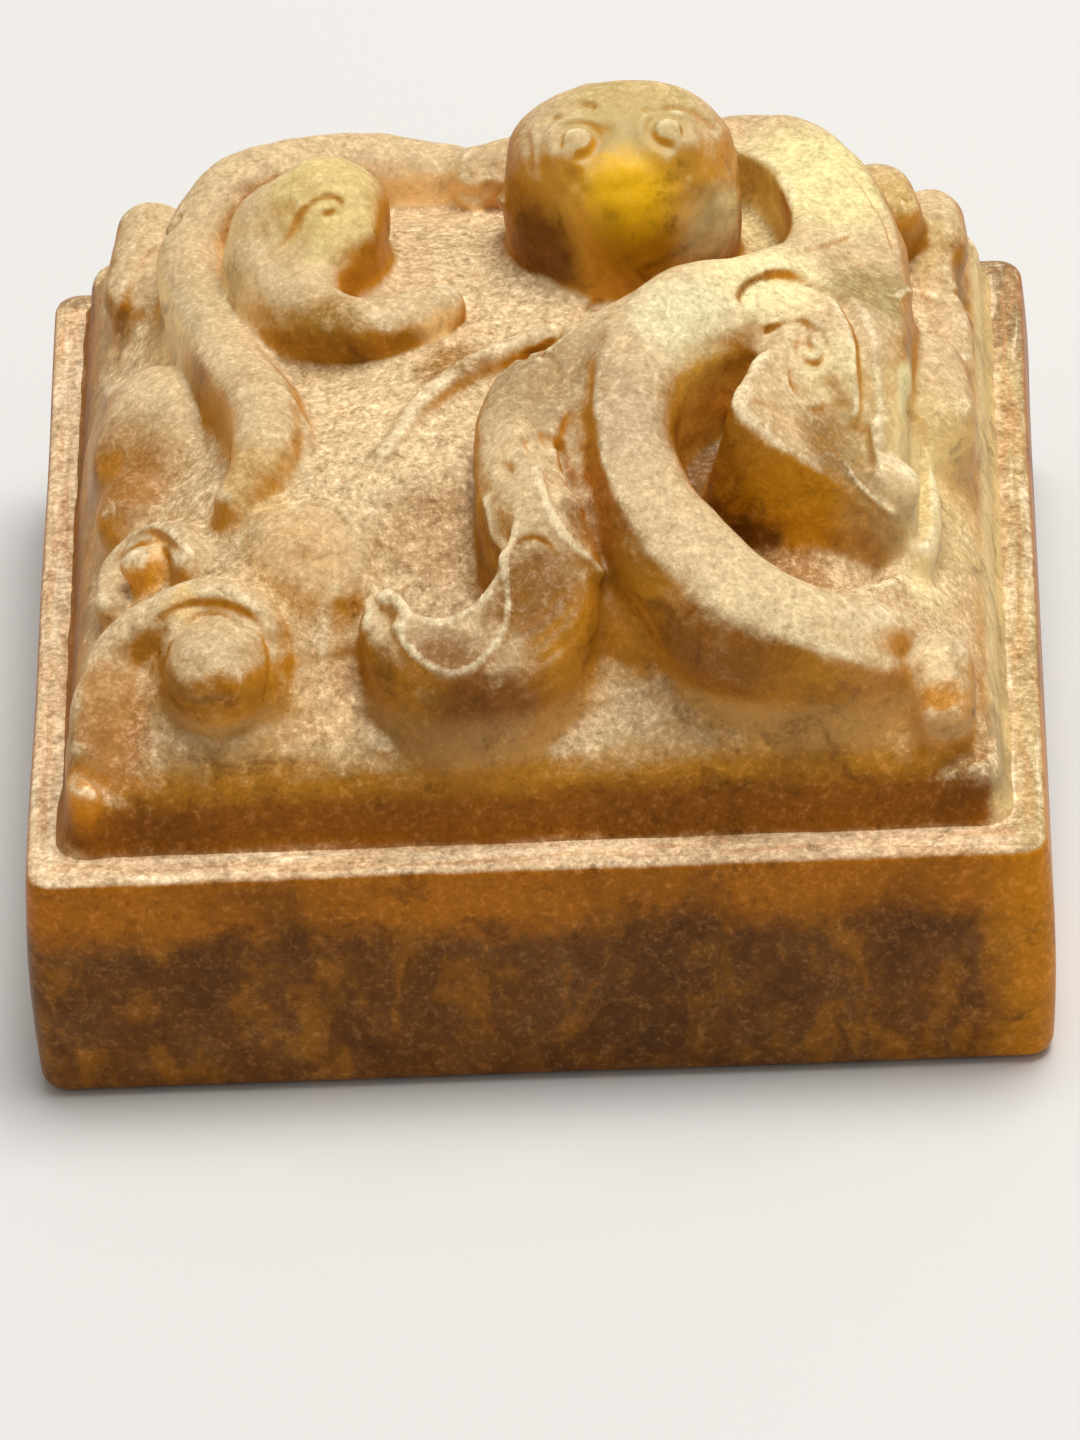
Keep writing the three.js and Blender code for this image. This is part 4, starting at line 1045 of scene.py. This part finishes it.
side_tints = {
    "cheeks": ((4.9, 4.6, 27.6), 5.6, (238, 176, 62)),
    # Painted light: the right jaw's sides paler, as if lit from the right.
    "right jaw": ((8.8, 5, 26.2), 2.8, (250, 224, 160)),
    "behind the head": ((10.8, 10.7, 24.2), 3.6, (255, 222, 124)),
    "under the leaf": ((12, -10.8, 22.6), 4, (196, 130, 0)),
    # Painted light: the sides inside the C paler, standing in for a softly rounded inner edge.
    "in the C": ((7.8, -5.4, 24.4), 3, (255, 196, 80)),
    # Painted shade: the walls of the pit dark.
    "pit": ((10, -11.5, 20.8), 2, (104, 60, 8)),
    "arm end": ((8, -19, 20.5), 4.4, (150, 92, 26)),
    "arm tip": ((16, -19, 19.5), 3, (200, 136, 62)),
    "arm flank": ((3.2, -12.6, 23.6), 3, (190, 116, 40)),
    "hook": ((-1.5, -19.4, 18.8), 3.6, (144, 86, 28)),
    "left limb": ((-14.6, 6.5, 22.5), 7, (250, 208, 136)),
    "limb end": ((-12.4, -6, 22.6), 3.6, (222, 156, 70)),
    "left lobe": ((-18.5, -3, 19), 3.8, (214, 140, 30)),
    "ring curl": ((-16.6, -9.4, 18.9), 2.2, (244, 164, 40)),
    "corner curl": ((-17.9, -18, 16.4), 3, (216, 138, 54)),
    "corner ball": ((-13.6, -18.4, 19.6), 2.2, (190, 120, 12)),
    "right drop": ((17.8, -19.4, 16.8), 2.4, (196, 118, 0)),
    "right bank": ((17.6, -6, 19.5), 7, (255, 226, 158)),
    "toe": ((-8.8, 0.2, 23.8), 4, (180, 124, 30)),
    "toe tip": ((-3.9, 0.9, 24.8), 1.8, (250, 206, 136)),
    # Painted shade: the left jaw's sides dark.
    "left jaw": ((0.8, 4.6, 25.6), 3.2, (118, 70, 14)),
    "back wall": ((-4, 14.2, 22.5), 4.6, (255, 216, 150)),
    "small bead": ((16.3, -9.4, 22), 1.5, (255, 226, 170)),
    "right bank low": ((17.5, -11, 18.2), 2.4, (255, 226, 160)),
    "bank lobe": ((16.8, -3.8, 23.3), 1.8, (255, 236, 168)),
    "front right corner": ((19.4, -20.4, 14.8), 2.6, (160, 98, 14)),
}


class Link:
    """One output of a finish's nodes. Arithmetic on it adds Math nodes, and make adds any other
    node."""

    def __init__(self, tree, socket=None):
        self.tree = tree
        self.socket = socket

    def make(self, kind, inputs=None, out=0, **settings):
        node = self.tree.nodes.new("ShaderNode" + kind)
        for key, value in settings.items():
            setattr(node, key, value)
        for key, value in (inputs or {}).items():
            if isinstance(value, Link):
                self.tree.links.new(value.socket, node.inputs[key])
            else:
                node.inputs[key].default_value = value
        return Link(self.tree, node.outputs[out] if node.outputs else None)

    def __add__(self, other):
        return self.make("Math", {0: self, 1: other}, operation="ADD")

    __radd__ = __add__

    def __sub__(self, other):
        return self.make("Math", {0: self, 1: other}, operation="SUBTRACT")

    def __rsub__(self, other):
        return self.make("Math", {0: other, 1: self}, operation="SUBTRACT")

    def __mul__(self, other):
        return self.make("Math", {0: self, 1: other}, operation="MULTIPLY")

    __rmul__ = __mul__

    def between(self, low, high):
        """0 at low, 1 at high, and smooth in the middle."""
        ends = {0: self, 1: low, 2: high, 3: 0.0, 4: 1.0}
        return self.make("MapRange", ends, interpolation_type="SMOOTHSTEP")

    def vector(self, operation, other, key=1, out=0):
        return self.make("VectorMath", {0: self, key: other}, out, operation=operation)

    def tint(self, colour, share):
        """This colour mixed towards another one."""
        shade = colour if isinstance(colour, Link) else paint(*colour)
        inputs = {0: share, 6: self, 7: shade}
        return self.make("Mix", inputs, 2, data_type="RGBA", clamp_factor=True)

    def shaken(self, cloud, amount):
        """This value made uneven by a cloud, so that an edge wanders."""
        return self + amount * (cloud - 0.5)

    def near(self, centre, reach, cloud):
        """A soft patch of stone round a place."""
        away = self.vector("DISTANCE", centre, out=1)
        return away.shaken(cloud, patch_wander).between(reach, reach * patch_core)


def paint(red, green, blue):
    """A colour as seen, from 0 to 255, in the values that a shader takes."""
    parts = [c / 255 for c in (red, green, blue)]
    parts = [c / 12.92 if c <= 0.04045 else ((c + 0.055) / 1.055) ** 2.4 for c in parts]
    return (*parts, 1.0)


def stone(name, side, deep, top, zones, grain, gloss):
    """Mottled stone. top is the colour on faces that look up, partly the stone's own and partly
    painted light from above; side is the colour on faces that look out, partly painted shade; deep
    is a dark tone in the clouds and also painted shade in hollows. Crests are paler with wear and a
    painted highlight, and faces that look up carry painted glints. zones gives places their
    colours, some of them painted light and painted shade, each with its share of outward and upward
    faces, and says how calm the stone is."""
    finish = bpy.data.materials.new(name)
    finish.use_nodes = True
    finish.node_tree.nodes.clear()
    start = Link(finish.node_tree)
    place = start.make("TexCoord", out=3).vector("SCALE", 1 / MM, key=3)
    x, y, z = (start.make("SeparateXYZ", {0: place}, n) for n in range(3))
    lean = start.make("SeparateXYZ", {0: start.make("NewGeometry", out=1)}, 2)

    def cloud(size, detail, rough, twist, shift):
        moved = {"Vector": place.vector("ADD", (shift, 0.7 * shift, -shift)), "Scale": 1 / size}
        form = {"Detail": detail, "Roughness": rough, "Distortion": twist}
        return start.make("TexNoise", {**moved, **form})

    broad = cloud(7.0, 4.0, 0.6, 0.8, 3.0)
    middle = cloud(2.0, 5.0, 0.7, 0.6, 11.0)
    fine = cloud(0.55, 4.0, 0.75, 0.4, 5.0)
    sugar = cloud(0.24, 2.0, 0.7, 0.0, 17.0)
    speckle = 0.6 * fine + 0.4 * sugar
    crest = start.make("Attribute", out=2, attribute_name="crest")
    hollow = start.make("Attribute", out=2, attribute_name="hollow")
    low, high = start.make("RGB"), start.make("RGB")
    low.socket.default_value, high.socket.default_value = paint(*side), paint(*top)
    found, calm = zones(place, x, y, z, broad, middle)
    grain = grain * (1 - calm)
    for mask, shade, outward, upward in found:
        low = low.tint(shade, mask * outward) if outward else low
        high = high.tint(shade, mask * upward) if upward else high
    low = low.tint(deep, broad.between(0.56, 0.3) * 0.45)
    low = low.tint(deep, middle.between(0.48, 0.3) * 0.5)
    flecks = speckle.between(0.48, 0.68) * grain
    low = low.tint(fleck_pale, flecks * 0.15).vector("SCALE", 1 + 0.36 * flecks, key=3)
    low = low.tint(fleck_dark, speckle.between(0.46, 0.32) * 0.36 * grain)
    stain = (0.5 * broad + 0.5 * middle).between(0.5, 0.64)
    high = high.tint(stain_brown, stain * 0.3)
    high = high.vector("SCALE", 1 + 0.26 * middle.between(0.54, 0.68) - 0.12 * stain, key=3)
    # Painted light and shade: faces that look up take the pale top colour as if lit from above, and
    # faces that look out take the brown side colour as if in shade; part of it is the stone's own
    # skin.
    facing = (lean.shaken(middle, 0.4).shaken(fine, 0.35) + 0.12 * crest).between(0.36, 0.86)
    colour = low.tint(high, facing)
    # Painted shade: the hollows darkened towards deep.
    colour = colour.tint(deep, hollow.shaken(middle, 0.5).between(0.36, 1.1) * 0.56)
    # Crests paler: partly wear, partly a painted highlight that is strongest where they look up.
    worn_and_highlight = crest.shaken(fine, 1.2).between(0.5, 1.2)
    colour = colour.tint(worn_and_highlight_pale, worn_and_highlight * (0.12 + 0.42 * facing))
    # Painted glints: bright specks on faces that look up; the dark specks are grain.
    light = fine.between(0.48, 0.68) * 0.5 + sugar.between(0.5, 0.7) * 0.5
    colour = colour.tint(sugar_glint_pale, light * 0.2 * facing * grain)
    dark = fine.between(0.5, 0.34) * 0.55 + sugar.between(0.48, 0.3) * 0.45
    colour = colour.tint(low, dark * 0.3 * facing * grain)
    colour = colour.vector("SCALE", 1 + (0.55 * light - 0.36 * dark) * facing * grain, key=3)
    rough = gloss + 0.3 * (fine - 0.5) + 0.14 * facing - 0.1 * calm
    height = (0.55 * fine + 0.45 * sugar) * grain
    bump = start.make("Bump", {"Strength": 0.8, "Distance": 0.09 * MM, "Height": height})
    inputs = {"Base Color": colour, "Roughness": rough, "Normal": bump}
    shader = start.make("BsdfPrincipled", {**inputs, "IOR": 1.5, "Specular IOR Level": 0.12})
    start.make("OutputMaterial", {"Surface": shader})
    return finish


def relief_zones(place, x, y, z, broad, middle):
    """The carved top: a tint at each place, some of them painted light and painted shade, and
    the brown of the tier's wall below.
    """
    found = []
    for tints, outward, upward in ((side_tints, 0.95, 0), (top_tints, 0, 0.9)):
        for centre, reach, shade in tints.values():
            found.append((place.near(centre, reach, middle), shade, outward, upward))
    level = z.shaken(middle, 1.2)
    nose = place.near((4.9, 3.2, 29.6), 3.2, middle) * y.between(6.4, 5.0)
    under_nose = place.near((4.9, 3.0, 26.9), 3.2, middle) * y.between(6.0, 4.6)
    found += [
        (level.between(15.6, 13.8), (186, 138, 80), 0, 0.6),
        (z.shaken(middle, 0.9).between(14.9, 13.6), (152, 86, 8), 0.9, 0),
        (level.between(14.9, 16.0) * level.between(18.6, 17.2), (214, 164, 98), 0.6, 0),
        # Painted light: the walls on the right paler, as if lit from that side.
        (x.shaken(middle, 0.5).between(19.6, 20.2), (246, 216, 150), 0.85, 0),
        # Nose: honey yellow stone, with a painted highlight on its upper part and painted shade
        # below it.
        (under_nose, (192, 130, 12), 0.9, 0.6),
        (nose, (244, 186, 12), 0.95, 0.95),
        (place.near((-20.0, -20.5, 14.6), 2.2, middle), (236, 144, 0), 0.9, 0.8),
    ]
    head = place.near((4.9, 4.5, 28.6), 7.0, middle)
    paw = place.near((-8.0, 6.0, 26.0), 5.5, middle)
    return found, head * 0.75 + paw * 0.35


relief_finish = stone(
    "relief_finish", *relief_colours, relief_pale, relief_zones, grain=0.75, gloss=0.4
)
ground_finish = stone(
    "ground_finish", *relief_colours, ground_pale, relief_zones, grain=1.2, gloss=0.46
)
for n, (name, (part, values, _, slot)) in enumerate(relief.forms.items()):
    others = np.minimum(np.where(owner[part] == n, second[part], nearest[part]), ground[part])
    relief_piece(name, part, (values - others) / 2, relief_finish)
wall = (ground - nearest) / 2
above = tier_top - seam_drop - relief.z
relief_piece("dome_ground", relief.everywhere, np.maximum(wall, above), ground_finish)
tier = np.maximum(np.maximum(wall, -above), block_height - relief.z)
relief_piece("upper_tier", relief.everywhere, tier, ground_finish)

# Base block under the ledge: darker stone, with a painted glow of orange light under its top arris,
# and brown clouds and streaks lower down. Its ledge is paler where the chisel and the slab scraped
# it and where painted light falls from above, and painted shade darkens it at the right and back.
base_colours = (118, 68, 14), (66, 38, 8)
base_pale = (226, 192, 148)
seam_margin = 1.2
base_margin = 0.6
block_reach = 23.2


def base_zones(place, x, y, z, broad, middle):
    """Painted orange light under the top arris, painted shade on the far ledges, a honey end at the
    right, and grey-brown clouds.
    """

    def drawn_out(pull, scale):
        rays = {"Vector": place.vector("MULTIPLY", pull), "Scale": scale}
        return place.make("TexNoise", {**rays, "Detail": 3.0, "Roughness": 0.6, "Distortion": 0.4})

    flank = (x * x - y * y).between(-20, 20)
    ledge = drawn_out((0.1, 1.0, 1.0), 1.7) * (1 - flank) + drawn_out((1.0, 0.1, 1.0), 1.7) * flank
    streak = drawn_out((1.0, 1.0, 0.5), 0.55)
    cloudy = broad.between(0.45, 0.62) * middle.between(0.38, 0.6)
    strip = z.shaken(middle, 1.8).shaken(broad, 2.5).between(7.6, 10.0)
    honey = x.shaken(middle, 2.0).between(18.5, 21.5) * y.shaken(broad, 8.0).between(-2.0, -15.0)
    return [
        # Painted shade: the ledges at the right and at the back, and the back right corner, darker.
        (x.shaken(middle, -0.6).between(20.4, 21.4), (184, 160, 106), 0, 0.85),
        (y.shaken(middle, -0.6).between(20.6, 21.4), (150, 122, 84), 0, 0.85),
        (place.near((21.5, 19.5, 12.4), 7.0, middle), (140, 112, 74), 0, 0.85),
        (cloudy, (118, 86, 52), 0.4, 0),
        (middle.between(0.52, 0.7), (168, 102, 14), 0.55, 0),
        (streak.between(0.5, 0.66), (170, 106, 14), 0.6, 0),
        (streak.between(0.48, 0.32), (78, 46, 12), 0.4, 0),
        (place.near((7.0, -22.0, 3.6), 8.0, middle), (84, 50, 16), 0.4, 0),
        # Painted glow: orange light under the top arris.
        (strip, (194, 114, 6), 0.8, 0),
        (honey, (214, 134, 0), 0.8, 0),
        (ledge.between(0.52, 0.36), (196, 146, 96), 0, 0.6),
        (ledge.between(0.52, 0.68), (252, 228, 190), 0, 0.55),
    ], 0.0


def base_piece(name, wall, low, body):
    """Makes one piece of the base block."""
    body = body.astype(np.float32)
    piece, _ = stone_mesh(name + "_stone", wall + 0 * body, low, coarse_grain, body)
    set_in_place(piece, name, base_finish)


base_finish = stone("base_finish", *base_colours, base_pale, base_zones, grain=1.1, gloss=0.36)
low = np.array([-block_reach, -block_reach, face_plate - seam_margin])
x, y, z = open_grid(low, (block_reach, block_reach, block_height + base_margin), coarse_grain)
base_piece("seal_block", face_plate - z, low, block_body(x, y, z))

# Printing face: the underside, ground flat and cut into a plain square fret inside a broad rim.
# Each channel is joined to the next one in, at one side and then at the other.
face_depth = 0.9
face_rim = 2.6
fret_strip = 1.5
fret_gap = 1.3
fret_round = 0.15
low = np.array([-block_reach, -block_reach, -base_margin])
x, y, z = open_grid(low, (block_reach, block_reach, face_plate + seam_margin), coarse_grain)
body = block_body(x, y, z).astype(np.float32)
square = np.maximum(np.abs(x), np.abs(y)) + 0 * z
side = 1
outer = block_half - face_rim
pitch = fret_strip + fret_gap
while outer - fret_gap > fret_strip:
    inner = outer - fret_gap
    groove = np.abs(square - (outer + inner) / 2) - fret_gap / 2
    body = np.maximum(body, -round_meet(groove, z - face_depth, fret_round))
    if inner - pitch > fret_strip:
        ends = sorted([side * (inner + fret_gap / 2), side * (inner - fret_strip - fret_gap / 2)])
        channel = np.maximum(np.maximum(ends[0] - x, x - ends[1]), np.abs(y) - fret_gap / 2)
        body = np.maximum(body, -round_meet(channel, z - face_depth, fret_round))
    side = -side
    outer -= pitch
base_piece("seal_face", z - face_plate, low, body)

# Table top: a plain pale sheet for the stone to stand on, wide enough to fill the picture. It is a
# stage piece and no part of the stamp.
floor_half = 1.5
floor_mesh = bpy.data.meshes.new("table_top")
corners = [(x * floor_half, y * floor_half, 0) for x, y in ((-1, -1), (1, -1), (1, 1), (-1, 1))]
floor_mesh.from_pydata(corners, [], [(0, 1, 2, 3)])
floor = bpy.data.objects.new("table_top", floor_mesh)
bpy.context.collection.objects.link(floor)
floor_finish = bpy.data.materials.new("pale_table")
floor_finish.use_nodes = True
floor_shader = floor_finish.node_tree.nodes["Principled BSDF"]
floor_shader.inputs["Base Color"].default_value = paint(226, 224, 220)
floor_shader.inputs["Roughness"].default_value = 0.7
floor_mesh.materials.append(floor_finish)
floor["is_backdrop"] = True

# Light: one broad soft lamp above and behind the stone, a little to its right, and a pale room
# round it that fills the shadows.
lamp_place = Vector((0.1, 0.07, 0.62))
lamp_target = Vector((0, 0, 0.015))
lamp = bpy.data.lights.new("broad_lamp", "AREA")
lamp.shape = "SQUARE"
lamp.size = 0.35
lamp.energy = 3.6
lamp_rig = bpy.data.objects.new("broad_lamp", lamp)
lamp_rig.location = lamp_place
lamp_rig.rotation_euler = (lamp_target - lamp_place).to_track_quat("-Z", "Y").to_euler()
bpy.context.collection.objects.link(lamp_rig)
room = bpy.context.scene.world or bpy.data.worlds.new("room")
bpy.context.scene.world = room
room.use_nodes = True
room.node_tree.nodes["Background"].inputs[0].default_value = paint(236, 235, 232)
room.node_tree.nodes["Background"].inputs[1].default_value = 0.42

# Camera: stands where the photograph was taken, to the front and above, a little to the right, and
# rolled a few degrees.
elevation = math.radians(37.278)
yaw = math.radians(2.117)
roll = math.radians(-3.385)
distance = 0.6046
focal_pixels = 13402
picture_height = 1440
sensor_width = 36
aim_point = Vector((-0.255, 0, 2.94)) * MM
level = math.cos(elevation)
toward = Vector((math.sin(yaw) * level, -math.cos(yaw) * level, math.sin(elevation)))
right = (-toward).cross(Vector((0, 0, 1))).normalized()
up = right.cross(-toward)
turned_right = right * math.cos(roll) + up * math.sin(roll)
turned_up = -right * math.sin(roll) + up * math.cos(roll)
camera_data = bpy.data.cameras.new("camera")
camera_data.sensor_width = sensor_width
camera_data.lens = sensor_width * focal_pixels / picture_height
camera_data.clip_start = 0.01
camera = bpy.data.objects.new("camera", camera_data)
turn = Matrix((turned_right, turned_up, toward)).transposed()
camera.matrix_world = Matrix.Translation(aim_point + toward * distance) @ turn.to_4x4()
bpy.context.collection.objects.link(camera)
bpy.context.scene.camera = camera
bpy.context.scene.view_settings.view_transform = "Standard"

low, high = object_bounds()
